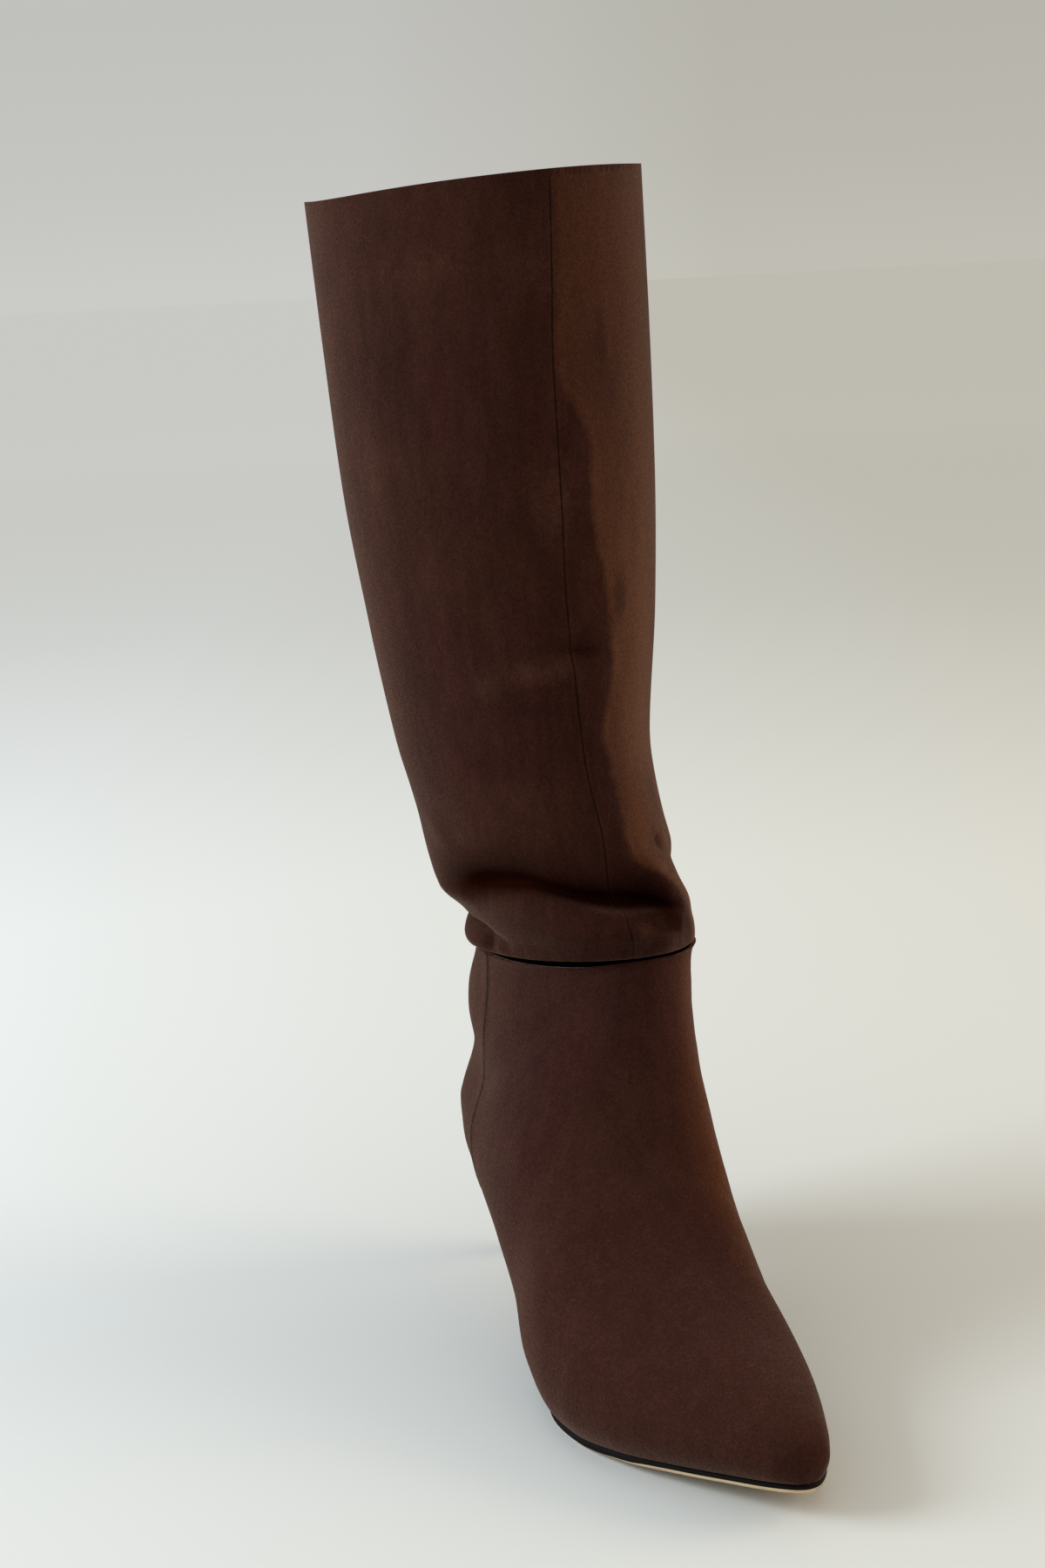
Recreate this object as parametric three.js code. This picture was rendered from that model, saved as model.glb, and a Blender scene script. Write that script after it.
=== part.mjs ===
// A knee-high slouch boot on a covered stiletto heel, for the right foot, standing empty on its sole.
// Millimetres, +X to the toe, +Y to the inner (medial) side, +Z up.
import * as THREE from "three";

// Driving sizes
const footLength = 258; // back of the heel seat to the tip of the toe, along the feather edge
const ballWidth = 82; // outside of the upper across the ball of the foot
const instepHeight = 79; // feather edge to the ridge of the upper at the instep
const heelHeight = 60; // floor to the feather edge at the back of the heel
const toeSpring = 10; // rise of the toe tip over the forefoot
const ankleRise = 74; // back of the heel seat to the seam between upper and shaft
const shaftRise = 283; // that seam, at the back, to the collar

const upperWall = 1.8;
const shaftWall = 1.6;
const outsoleThickness = 3;
const insoleThickness = 2.2;
const topPieceThickness = 5;
const pieceGap = 0.3; // between two pieces that meet
const insoleEase = 0.6; // between the edge of the insole and the inside of the upper
const feather = outsoleThickness + pieceGap; // height of the feather edge where the forefoot rests

// The toe is stiffened by a solid puff over this length
const toePuff = 9;

// Rise of the feather edge from the forefoot to the heel seat:
// along = share of footLength, rise = share of the heel's height over the forefoot
const heelRise = [
  { along: 0, rise: 1 },
  { along: 0.1, rise: 0.873 },
  { along: 0.195, rise: 0.746 },
  { along: 0.27, rise: 0.623 },
  { along: 0.35, rise: 0.447 },
  { along: 0.4, rise: 0.315 },
  { along: 0.455, rise: 0.165 },
  { along: 0.51, rise: 0.046 },
  { along: 0.56, rise: 0 },
  { along: 1, rise: 0 },
];

// Rise of the feather edge at the toe, rise = share of toeSpring
const toeRise = [
  { along: 0, rise: 0 },
  { along: 0.66, rise: 0 },
  { along: 0.72, rise: 0.07 },
  { along: 0.78, rise: 0.22 },
  { along: 0.87, rise: 0.52 },
  { along: 0.95, rise: 0.82 },
  { along: 1, rise: 1 },
];

// Outline of the sole: middle and half width as shares of ballWidth, middle positive to the inner side
const outline = [
  { along: 0, middle: 0, half: 0 },
  { along: 0.02, middle: 0, half: 0.165 },
  { along: 0.05, middle: 0, half: 0.25 },
  { along: 0.1, middle: 0, half: 0.317 },
  { along: 0.17, middle: 0, half: 0.347 },
  { along: 0.25, middle: -0.01, half: 0.341 },
  { along: 0.36, middle: -0.035, half: 0.311 },
  { along: 0.46, middle: -0.065, half: 0.335 },
  { along: 0.56, middle: -0.085, half: 0.42 },
  { along: 0.64, middle: -0.08, half: 0.47 },
  { along: 0.7, middle: -0.06, half: 0.465 },
  { along: 0.78, middle: -0.02, half: 0.41 },
  { along: 0.86, middle: 0.03, half: 0.305 },
  { along: 0.92, middle: 0.065, half: 0.21 },
  { along: 0.96, middle: 0.085, half: 0.14 },
  { along: 0.985, middle: 0.095, half: 0.08 },
  { along: 1, middle: 0.1, half: 0 },
];

// Sections of the upper, from the toe to the ankle. Each is a bow that stands on both feather edges at foot
// and passes over the ridge at top. From the heel corner on it is a ring, closed at the back.
// foot, top = shares of footLength; back = share of ankleRise; rise = share of instepHeight;
// outer, inner = half widths as shares of ballWidth; widest = where they lie, from foot to ridge;
// ridge = sideways place of the ridge as a share of ballWidth
const upperSections = [
  { foot: 1, back: 0, top: 1.002, rise: 0.02, outer: 0.01, inner: 0.01, widest: 0.5, ridge: 0.1 },
  { foot: 0.997, back: 0, top: 1.008, rise: 0.08, outer: 0.061, inner: 0.05, widest: 0.45, ridge: 0.098 },
  { foot: 0.984, back: 0, top: 1.003, rise: 0.155, outer: 0.13, inner: 0.095, widest: 0.42, ridge: 0.094 },
  { foot: 0.961, back: 0, top: 0.977, rise: 0.235, outer: 0.195, inner: 0.142, widest: 0.4, ridge: 0.087 },
  { foot: 0.922, back: 0, top: 0.934, rise: 0.3, outer: 0.275, inner: 0.205, widest: 0.38, ridge: 0.072 },
  { foot: 0.86, back: 0, top: 0.868, rise: 0.385, outer: 0.385, inner: 0.3, widest: 0.36, ridge: 0.042 },
  { foot: 0.787, back: 0, top: 0.791, rise: 0.485, outer: 0.48, inner: 0.395, widest: 0.34, ridge: 0.008 },
  { foot: 0.705, back: 0, top: 0.709, rise: 0.625, outer: 0.54, inner: 0.465, widest: 0.32, ridge: -0.02 },
  { foot: 0.632, back: 0, top: 0.643, rise: 0.78, outer: 0.55, inner: 0.485, widest: 0.32, ridge: -0.025 },
  { foot: 0.55, back: 0, top: 0.589, rise: 0.95, outer: 0.54, inner: 0.485, widest: 0.34, ridge: -0.015 },
  { foot: 0.457, back: 0, top: 0.55, rise: 1.018, outer: 0.52, inner: 0.465, widest: 0.36, ridge: 0.01 },
  { foot: 0.357, back: 0, top: 0.523, rise: 0.992, outer: 0.545, inner: 0.445, widest: 0.36, ridge: 0.035 },
  { foot: 0.256, back: 0, top: 0.504, rise: 0.977, outer: 0.555, inner: 0.44, widest: 0.34, ridge: 0.055 },
  { foot: 0.155, back: 0, top: 0.49, rise: 0.985, outer: 0.545, inner: 0.455, widest: 0.34, ridge: 0.067 },
  { foot: 0.07, back: 0, top: 0.481, rise: 0.995, outer: 0.515, inner: 0.47, widest: 0.36, ridge: 0.075 },
  { foot: 0.016, back: 0, top: 0.475, rise: 1.005, outer: 0.504, inner: 0.478, widest: 0.39, ridge: 0.079 },
  { foot: 0, back: 0, top: 0.473, rise: 1.02, outer: 0.497, inner: 0.48, widest: 0.41, ridge: 0.08 },
  { foot: -0.014, back: 0.135, top: 0.471, rise: 1.038, outer: 0.485, inner: 0.48, widest: 0.42, ridge: 0.082 },
  { foot: -0.023, back: 0.378, top: 0.467, rise: 1.058, outer: 0.471, inner: 0.475, widest: 0.44, ridge: 0.083 },
  { foot: -0.016, back: 0.649, top: 0.465, rise: 1.074, outer: 0.461, inner: 0.468, widest: 0.46, ridge: 0.084 },
  { foot: 0.014, back: 0.892, top: 0.463, rise: 1.086, outer: 0.461, inner: 0.466, widest: 0.48, ridge: 0.085 },
  { foot: 0.027, back: 1, top: 0.463, rise: 1.095, outer: 0.465, inner: 0.465, widest: 0.5, ridge: 0.085 },
];
// Hollow of the upper between the heel and the ankle bone, on either side.
// along, length, up, reach = its place and its size as shares of footLength; outer, inner = shares of ballWidth
const ankleHollow = { along: 0.1, length: 0.18, up: 0.36, reach: 0.055, outer: 0.075, inner: 0.03 };
const heelCorner = upperSections.findIndex((section) => section.foot === 0);

// Rings of the shaft, measured from the ankle seam's ring.
// height = share of the way up; back, front = shifts as shares of footLength; width = times the ankle's;
// sway = sideways shift as a share of ballWidth
const shaftRings = [
  { height: 0, back: 0, front: 0, width: 1, sway: 0 },
  { height: 0.02, back: -0.02, front: 0.014, width: 1.005, sway: -0.005 },
  { height: 0.05, back: -0.04, front: 0.022, width: 1.03, sway: -0.03 },
  { height: 0.1, back: -0.06, front: 0.01, width: 1.06, sway: -0.075 },
  { height: 0.16, back: -0.078, front: -0.01, width: 1.11, sway: -0.125 },
  { height: 0.28, back: -0.102, front: -0.028, width: 1.21, sway: -0.185 },
  { height: 0.44, back: -0.133, front: -0.02, width: 1.36, sway: -0.195 },
  { height: 0.62, back: -0.159, front: -0.004, width: 1.465, sway: -0.222 },
  { height: 0.8, back: -0.18, front: 0.004, width: 1.51, sway: -0.24 },
  { height: 1, back: -0.192, front: 0.008, width: 1.545, sway: -0.262 },
];
const collarTilt = 0.065; // slope of the collar, down to the outer side

// Slouch of the shaft over the ankle: rolls push the cloth out, folds draw it in. Each runs around the shaft.
// angle = degrees from the front, negative to the outer side; level = share of the way up;
// push = share of ballWidth; below, above = reach to either side of the level, as shares of shaftRise
const lowerRoll = [
  { angle: -180, level: 0.034, push: 0.03, below: 0.016, above: 0.02 },
  { angle: -125, level: 0.026, push: 0.005, below: 0.014, above: 0.014 },
  { angle: -100, level: 0.022, push: -0.004, below: 0.014, above: 0.014 },
  { angle: -60, level: 0.03, push: 0.008, below: 0.018, above: 0.02 },
  { angle: -20, level: 0.036, push: 0.022, below: 0.02, above: 0.024 },
  { angle: 15, level: 0.036, push: 0.027, below: 0.02, above: 0.022 },
  { angle: 28, level: 0.038, push: 0.008, below: 0.018, above: 0.024 },
  { angle: 60, level: 0.036, push: 0.004, below: 0.018, above: 0.024 },
  { angle: 120, level: 0.036, push: 0.03, below: 0.018, above: 0.022 },
  { angle: 180, level: 0.034, push: 0.03, below: 0.016, above: 0.02 },
];
const mainFold = [
  { angle: -180, level: 0.09, push: 0, below: 0.016, above: 0.025 },
  { angle: -108, level: 0.09, push: 0, below: 0.016, above: 0.025 },
  { angle: -85, level: 0.093, push: -0.028, below: 0.016, above: 0.024 },
  { angle: -62, level: 0.101, push: -0.045, below: 0.015, above: 0.024 },
  { angle: -30, level: 0.11, push: -0.065, below: 0.014, above: 0.027 },
  { angle: -10, level: 0.09, push: -0.088, below: 0.013, above: 0.036 },
  { angle: 8, level: 0.077, push: -0.094, below: 0.012, above: 0.032 },
  { angle: 16, level: 0.07, push: -0.08, below: 0.012, above: 0.023 },
  { angle: 23, level: 0.062, push: -0.045, below: 0.012, above: 0.016 },
  { angle: 31, level: 0.056, push: 0, below: 0.012, above: 0.014 },
  { angle: 180, level: 0.056, push: 0, below: 0.012, above: 0.014 },
];
const upperRoll = [
  { angle: -180, level: 0.12, push: 0.02, below: 0.03, above: 0.05 },
  { angle: -125, level: 0.095, push: 0.055, below: 0.02, above: 0.07 },
  { angle: -100, level: 0.088, push: 0.072, below: 0.018, above: 0.07 },
  { angle: -80, level: 0.094, push: 0.066, below: 0.018, above: 0.065 },
  { angle: -55, level: 0.13, push: 0.03, below: 0.024, above: 0.05 },
  { angle: -25, level: 0.16, push: 0.012, below: 0.024, above: 0.05 },
  { angle: 14, level: 0.11, push: 0.012, below: 0.02, above: 0.04 },
  { angle: 34, level: 0.08, push: 0, below: 0.014, above: 0.03 },
  { angle: 60, level: 0.12, push: 0.01, below: 0.02, above: 0.04 },
  { angle: 120, level: 0.15, push: 0.035, below: 0.025, above: 0.04 },
  { angle: 180, level: 0.12, push: 0.02, below: 0.03, above: 0.05 },
];
const outerFold = [
  { angle: -180, level: 0.06, push: 0, below: 0.012, above: 0.014 },
  { angle: -150, level: 0.056, push: -0.028, below: 0.012, above: 0.014 },
  { angle: -117, level: 0.049, push: -0.048, below: 0.011, above: 0.014 },
  { angle: -100, level: 0.047, push: -0.05, below: 0.011, above: 0.014 },
  { angle: -86, level: 0.045, push: -0.045, below: 0.011, above: 0.013 },
  { angle: -67, level: 0.031, push: -0.026, below: 0.011, above: 0.012 },
  { angle: -50, level: 0.018, push: 0, below: 0.011, above: 0.012 },
  { angle: 180, level: 0.06, push: 0, below: 0.012, above: 0.014 },
];
const innerFold = [
  { angle: -180, level: 0.05, push: 0, below: 0.014, above: 0.02 },
  { angle: 40, level: 0.05, push: 0, below: 0.012, above: 0.016 },
  { angle: 58, level: 0.062, push: -0.045, below: 0.012, above: 0.02 },
  { angle: 90, level: 0.082, push: -0.07, below: 0.013, above: 0.024 },
  { angle: 125, level: 0.085, push: -0.065, below: 0.014, above: 0.026 },
  { angle: 155, level: 0.07, push: -0.05, below: 0.014, above: 0.02 },
  { angle: 178, level: 0.06, push: 0, below: 0.014, above: 0.02 },
  { angle: 180, level: 0.05, push: 0, below: 0.014, above: 0.02 },
];
const backFold = [
  { angle: -180, level: 0.125, push: -0.035, below: 0.018, above: 0.03 },
  { angle: -160, level: 0.14, push: -0.03, below: 0.018, above: 0.03 },
  { angle: -135, level: 0.165, push: 0, below: 0.018, above: 0.03 },
  { angle: 90, level: 0.2, push: 0, below: 0.018, above: 0.03 },
  { angle: 130, level: 0.165, push: -0.03, below: 0.018, above: 0.03 },
  { angle: 160, level: 0.14, push: -0.045, below: 0.018, above: 0.03 },
  { angle: 180, level: 0.125, push: -0.035, below: 0.018, above: 0.03 },
];
const folds = [lowerRoll, mainFold, upperRoll, outerFold, innerFold, backFold];
const foldsStart = 0.02; // share of the way up over which the slouch fades in from the ankle seam

// Soft edge along the shin, from the collar's front down to the inner side of the slouch
// height = share of the way up; angle = degrees from the front; push = share of ballWidth
const shin = [
  { height: 0.04, angle: 30, push: 0 },
  { height: 0.075, angle: 26.5, push: 0.012 },
  { height: 0.1, angle: 20, push: 0.022 },
  { height: 0.13, angle: 8.5, push: 0.026 },
  { height: 0.15, angle: 5.5, push: 0.026 },
  { height: 0.2, angle: 5.7, push: 0.026 },
  { height: 0.41, angle: 8, push: 0.024 },
  { height: 0.48, angle: 9.5, push: 0.022 },
  { height: 0.55, angle: 7.4, push: 0.02 },
  { height: 0.62, angle: 3.8, push: 0.018 },
  { height: 0.8, angle: -1, push: 0.02 },
  { height: 1, angle: 0, push: 0.024 },
];
const shinSpread = 13; // degrees to either side of the edge
const flatSpread = { off: 30, spread: 20, share: 0.6 }; // the flat that follows it on the inner side

// The covered heel: drop = share of heelHeight below its back edge; back, breast = shares of heelSeat;
// width = share of the width at the breast
const heelSeat = 40; // length of the heel under the upper
const heelRings = [
  { drop: 0, back: 0, breast: 1, width: 1 },
  { drop: 0.07, back: 0.035, breast: 0.955, width: 0.9 },
  { drop: 0.16, back: 0.08, breast: 0.89, width: 0.76 },
  { drop: 0.27, back: 0.135, breast: 0.82, width: 0.6 },
  { drop: 0.4, back: 0.195, breast: 0.75, width: 0.44 },
  { drop: 0.55, back: 0.25, breast: 0.68, width: 0.31 },
  { drop: 0.72, back: 0.3, breast: 0.63, width: 0.225 },
  { drop: 0.87, back: 0.33, breast: 0.6, width: 0.185 },
  { drop: 1, back: 0.345, breast: 0.59, width: 0.175 },
];
const breastHollow = 0.12; // how far the breast is curved in, as a share of the ring's width
const breastFade = 7; // the hollow is whole at this fraction of the drop: one seventh
const seatFade = 2.2; // how fast the rings turn from the slope of the seat to the level of the floor

// Fullness of the superellipses that the sections follow, 2 being a plain ellipse
const footFullness = 2.15;
const collarFullness = 1.9;
const fullnessHeight = 0.25; // share of the shaft's height over which one becomes the other

// Fineness of the meshes
const stepsPerSection = 2;
const stepsPerSide = 13;
const shaftSteps = 35;
const shaftStepsPerSide = 18;
const slouchShare = 0.33; // lower means rings closer together in the slouch
const ringGrowth = 5; // how fast the rings spread out above it
const soleSteps = 44;
const soleEase = 0.8; // how much closer together they are at the ends of the sole
const heelSteps = 16;

// Smooth curve through the rows of a table that never overshoots them
function follow(table, key, column, at) {
  const x = table.map((row, index) => (key ? row[key] : index));
  const y = table.map((row) => (typeof column === "function" ? column(row) : row[column]));
  const last = x.length - 1;
  const place = THREE.MathUtils.clamp(at, x[0], x[last]);
  const width = (i) => x[i + 1] - x[i];
  const rise = (i) => (y[i + 1] - y[i]) / width(i);
  const slope = (i) => {
    if (i === 0) return rise(0);
    if (i === last) return rise(last - 1);
    if (rise(i - 1) * rise(i) <= 0) return 0;
    const before = 2 * width(i) + width(i - 1);
    const after = width(i) + 2 * width(i - 1);
    return (before + after) / (before / rise(i - 1) + after / rise(i));
  };
  let k = 0;
  while (k < last - 1 && place > x[k + 1]) k += 1;
  const t = (place - x[k]) / width(k);
  const ends = y[k] * (1 + 2 * t) * (1 - t) ** 2 + y[k + 1] * (3 - 2 * t) * t ** 2;
  return ends + width(k) * (slope(k) * t * (1 - t) ** 2 - slope(k + 1) * t ** 2 * (1 - t));
}

const featherHeight = (along) =>
  feather +
  (heelHeight - feather) * follow(heelRise, "along", "rise", along) +
  toeSpring * follow(toeRise, "along", "rise", along);

const middleOf = (along) => ballWidth * follow(outline, "along", "middle", along);
const halfOf = (along) =>
  ballWidth * Math.sqrt(Math.max(0, follow(outline, "along", (row) => row.half ** 2, along)));

// The outline of the sole drawn in by inset: at a place along it, the new along, middle and half width
function insetOutline(along, inset) {
  const reach = Math.max(along, inset / footLength);
  const step = 0.004;
  const slope = (halfOf(reach + step) - halfOf(reach - step)) / (2 * step * footLength);
  const half = halfOf(reach) - inset * Math.min(2, Math.hypot(1, slope));
  return { x: reach * footLength, middle: middleOf(reach), half: Math.max(0, half) };
}

// A bow from the outer foot, over the ridge, to the inner foot, as a list of points
function bow({ foot, ridge, outer, inner, widest, footHalf, fullness, steps }) {
  const low = Math.floor(steps / 2);
  const side = (half, sign) =>
    Array.from({ length: steps + 1 }, (_, k) => {
      const below = k <= low;
      const turn = (Math.PI / 2) * (below ? k / low : (k - low) / (steps - low));
      const out = Math.max(0, below ? Math.sin(turn) : Math.cos(turn)) ** (2 / fullness);
      const climb = below
        ? widest * (1 - Math.max(0, Math.cos(turn)) ** (2 / fullness))
        : widest + (1 - widest) * Math.sin(turn) ** (2 / fullness);
      const point = new THREE.Vector3().lerpVectors(foot, ridge, climb);
      const wide = below ? Math.sqrt(footHalf ** 2 + (half ** 2 - footHalf ** 2) * out ** 2) : half * out;
      point.y += sign * wide;
      return point;
    });
  return [...side(outer, -1), ...side(inner, 1).reverse().slice(1)];
}

const bell = (value) => Math.exp(-(value ** 2));

// Draws a point of the upper towards the middle where the hollow is
function hollowed(point, middle) {
  const away = (2 * (point.y - middle)) / ballWidth;
  const depth = (away < 0 ? ankleHollow.outer : ankleHollow.inner) * ballWidth;
  const length = bell((point.x / footLength - ankleHollow.along) / ankleHollow.length);
  const height = bell((point.z / footLength - ankleHollow.up) / ankleHollow.reach);
  return point.setY(point.y - away * depth * length * height);
}

// One section of the upper, drawn in by inset; place counts rows of the table
function upperBow(place, inset) {
  const read = (column) => follow(upperSections, null, column, place);
  const along = read("foot");
  const ring = place >= heelCorner;
  const ridge = new THREE.Vector3(
    read("top") * footLength,
    read("ridge") * ballWidth,
    featherHeight(along) + read("rise") * instepHeight,
  );
  const edge = insetOutline(along, inset);
  const foot = ring
    ? new THREE.Vector3(
        along * footLength,
        read("back") * ridge.y,
        featherHeight(0) + read("back") * ankleRise,
      )
    : new THREE.Vector3(edge.x, edge.middle, featherHeight(edge.x / footLength));
  const across = new THREE.Vector3().subVectors(ridge, foot).setY(0).normalize();
  if (ring) foot.addScaledVector(across, inset);
  ridge.addScaledVector(across, -inset);
  return bow({
    foot,
    ridge,
    outer: read("outer") * ballWidth - inset,
    inner: read("inner") * ballWidth - inset,
    widest: read("widest"),
    footHalf: ring ? 0 : edge.half,
    fullness: footFullness,
    steps: stepsPerSide,
  }).map((point) => hollowed(point, ridge.y / 2));
}

// Push of the slouch and of the shin's edge at a height and an angle from the front, in degrees
function slouchPush(height, angle) {
  const slouch = folds.map((fold) => {
    const read = (column) => follow(fold, "angle", column, angle);
    const distance = height - read("level");
    return read("push") * bell(distance / read(distance < 0 ? "below" : "above"));
  });
  const off = angle - follow(shin, "height", "angle", height);
  const flat = flatSpread.share * bell((off - flatSpread.off) / flatSpread.spread);
  const edge = follow(shin, "height", "push", height) * (bell(off / shinSpread) - flat);
  const rooted = THREE.MathUtils.smoothstep(height, 0, foldsStart);
  return rooted * ballWidth * slouch.reduce((sum, push) => sum + push, edge);
}

// Ring of the ankle seam, which the upper ends in and the shaft starts from
const ankle = (() => {
  const seam = upperSections[upperSections.length - 1];
  return {
    back: seam.foot * footLength,
    front: seam.top * footLength,
    backHeight: heelHeight + ankleRise,
    frontHeight: heelHeight + seam.rise * instepHeight,
    middle: seam.ridge * ballWidth,
    half: seam.outer * ballWidth,
  };
})();
const collarHeight = ankle.backHeight + shaftRise;

// One ring of the shaft's outside, starting and ending at the back
function shaftRing(height) {
  const read = (column) => follow(shaftRings, "height", column, height);
  const lift = pieceGap * (1 - height);
  const middle = ankle.middle + read("sway") * ballWidth;
  const heightAt = (from) => THREE.MathUtils.lerp(from + lift, collarHeight, height);
  const points = bow({
    foot: new THREE.Vector3(ankle.back + read("back") * footLength, middle, heightAt(ankle.backHeight)),
    ridge: new THREE.Vector3(ankle.front + read("front") * footLength, middle, heightAt(ankle.frontHeight)),
    outer: ankle.half * read("width"),
    inner: ankle.half * read("width"),
    widest: 0.5,
    footHalf: 0,
    fullness: THREE.MathUtils.lerp(footFullness, collarFullness, Math.min(1, height / fullnessHeight)),
    steps: shaftStepsPerSide,
  });
  const centre = new THREE.Vector3().addVectors(points[0], points[shaftStepsPerSide]).multiplyScalar(0.5);
  return points.map((point) => {
    const ray = point.clone().sub(centre);
    const angle = THREE.MathUtils.radToDeg(Math.atan2(ray.y, ray.x));
    const moved = point.clone().addScaledVector(ray.setZ(0).normalize(), slouchPush(height, angle));
    moved.z += collarTilt * height * (moved.y - middle);
    return moved;
  });
}

// Points of a closed-ring grid moved in by wall along the normals; the end rings stay in their own plane
function insideOf(rings, wall) {
  const count = rings[0].length - 1;
  return rings.map((ring, i) =>
    ring.map((point, j) => {
      const before = ring[(j + count - 1) % count];
      const after = ring[(j + 1) % count];
      const around = new THREE.Vector3().subVectors(after, before);
      const end = i === 0 || i === rings.length - 1;
      const up = end
        ? new THREE.Vector3(0, 0, 1)
        : new THREE.Vector3().subVectors(rings[i + 1][j % count], rings[i - 1][j % count]);
      const normal = new THREE.Vector3().crossVectors(around, up).normalize();
      const lean = new THREE.Vector3().subVectors(ring[count / 2], ring[0]);
      const moved = point.clone().addScaledVector(normal, -wall);
      if (end) moved.z -= wall * normal.x * (lean.z / lean.x);
      return moved;
    }),
  );
}

// Gathers the triangles of one closed surface
class Surface {
  constructor() {
    this.numbers = [];
  }
  triangle(a, b, c) {
    const near = (p, q) => p.distanceTo(q) < 1e-3;
    if (near(a, b) || near(b, c) || near(c, a)) return;
    this.numbers.push(...a, ...b, ...c);
  }
  quad(a, b, c, d) {
    if (a.distanceTo(c) <= b.distanceTo(d)) {
      this.triangle(a, b, c);
      this.triangle(a, c, d);
    } else {
      this.triangle(a, b, d);
      this.triangle(b, c, d);
    }
  }
  // A grid of rows, facing to the side from which its rows run up and its columns run clockwise
  grid(rows, flip = false) {
    rows.slice(1).forEach((next, i) => {
      const row = rows[i];
      next.slice(1).forEach((_, j) => {
        if (flip) this.quad(row[j], next[j], next[j + 1], row[j + 1]);
        else this.quad(row[j], row[j + 1], next[j + 1], next[j]);
      });
    });
  }
  geometry() {
    const geometry = new THREE.BufferGeometry();
    geometry.setAttribute("position", new THREE.Float32BufferAttribute(this.numbers, 3));
    geometry.computeVertexNormals();
    return geometry;
  }
}

function upperGeometry() {
  const count = (upperSections.length - 1) * stepsPerSection;
  const places = Array.from({ length: count + 1 }, (_, k) => k / stepsPerSection);
  const outside = places.map((place) => upperBow(place, 0));
  const tip = outside[0][0].clone();
  outside[0] = outside[0].map(() => tip);

  const puffEnd = 1 - toePuff / footLength;
  const innerTip = new THREE.Vector3(puffEnd * footLength, middleOf(puffEnd), featherHeight(puffEnd));
  const inside = places.map((place) => {
    const inPuff = follow(upperSections, null, "foot", place) >= puffEnd;
    const points = upperBow(place, upperWall);
    return inPuff ? points.map(() => innerTip) : points;
  });

  const shell = new Surface();
  shell.grid(outside);
  shell.grid(inside, true);
  const corner = heelCorner * stepsPerSection;
  const outerEdge = [outside, inside].map((rows) => rows.slice(0, corner + 1).map((row) => row[0]));
  const innerEdge = [outside, inside].map((rows) => rows.slice(0, corner + 1).map((row) => row.at(-1)));
  shell.grid(outerEdge);
  shell.grid(innerEdge, true);
  shell.grid([outside.at(-1), inside.at(-1)]);
  return shell.geometry();
}

function shaftGeometry() {
  const heights = Array.from({ length: shaftSteps + 1 }, (_, k) => {
    const share = k / shaftSteps;
    return slouchShare * share + (1 - slouchShare) * share ** ringGrowth;
  });
  const outside = heights.map(shaftRing);
  outside.forEach((ring) => ring.splice(-1, 1, ring[0]));
  const inside = insideOf(outside, shaftWall);
  inside.forEach((ring) => ring.splice(-1, 1, ring[0]));
  const shell = new Surface();
  shell.grid(outside);
  shell.grid(inside, true);
  shell.grid([inside[0], outside[0]]);
  shell.grid([outside.at(-1), inside.at(-1)]);
  return shell.geometry();
}

// A plate that follows the sole between two places along it, level across
function soleGeometry({ from, to, inset, bottom, thickness }) {
  const stations = Array.from({ length: soleSteps + 1 }, (_, k) => {
    const share = k / soleSteps;
    const eased = share - (Math.sin(2 * Math.PI * share) / (2 * Math.PI)) * soleEase;
    return insetOutline(THREE.MathUtils.lerp(from, to, eased), inset);
  });
  const row = (rise) => (station) => {
    const z = featherHeight(station.x / footLength) + rise;
    return [-1, 0, 1].map(
      (side) => new THREE.Vector3(station.x, station.middle + side * station.half, z),
    );
  };
  const lower = stations.map(row(bottom));
  const upper = stations.map(row(bottom + thickness));
  const plate = new Surface();
  plate.grid(upper, true);
  plate.grid(lower);
  plate.grid([lower.map((line) => line[0]), upper.map((line) => line[0])]);
  plate.grid([lower.map((line) => line[2]), upper.map((line) => line[2])], true);
  plate.grid([lower[0], upper[0]], true);
  plate.grid([lower.at(-1), upper.at(-1)]);
  return plate.geometry();
}

// One ring of the heel: its back follows the sole's outline, its breast is a hollow curve
function heelRing({ drop, back, breast, width }) {
  const reach = (share) => THREE.MathUtils.lerp(back, breast, share) * heelSeat;
  const seat = heelSeat / footLength;
  const shape = (share) => halfOf(share * seat) / halfOf(seat);
  const halfWidth = halfOf(seat) * width;
  const hollow = breastHollow * 2 * halfWidth * Math.min(1, drop * breastFade) * (1 - drop);
  const sides = Array.from({ length: heelSteps + 1 }, (_, k) => (k / heelSteps) ** 2);
  const around = [
    ...sides.map((share) => [reach(share), -halfWidth * shape(share)]),
    ...[-0.6, -0.2, 0.2, 0.6].map((side) => [
      reach(1) - hollow * (1 - side ** 2),
      side * halfWidth,
    ]),
    ...sides.slice(1).reverse().map((share) => [reach(share), halfWidth * shape(share)]),
  ];
  const level = heelHeight * (1 - drop) + topPieceThickness * drop;
  return around.map(([x, y]) => {
    const slope = featherHeight(x / footLength) - featherHeight(0);
    return new THREE.Vector3(x, y, level + pieceGap * (drop ? 0 : -1) + slope * (1 - drop) ** seatFade);
  });
}

// Closes a stack of rings, lowest last, with a fan at either end
function stackGeometry(rings) {
  const stack = new Surface();
  const closed = rings.map((ring) => [...ring, ring[0]]);
  stack.grid(closed, true);
  const middle = (ring) =>
    ring.reduce((sum, point) => sum.add(point), new THREE.Vector3()).divideScalar(ring.length);
  const top = middle(rings[0]);
  const base = middle(rings.at(-1));
  closed[0].slice(1).forEach((point, j) => stack.triangle(top, closed[0][j], point));
  closed.at(-1).slice(1).forEach((point, j) => stack.triangle(base, point, closed.at(-1)[j]));
  return stack.geometry();
}

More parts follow.
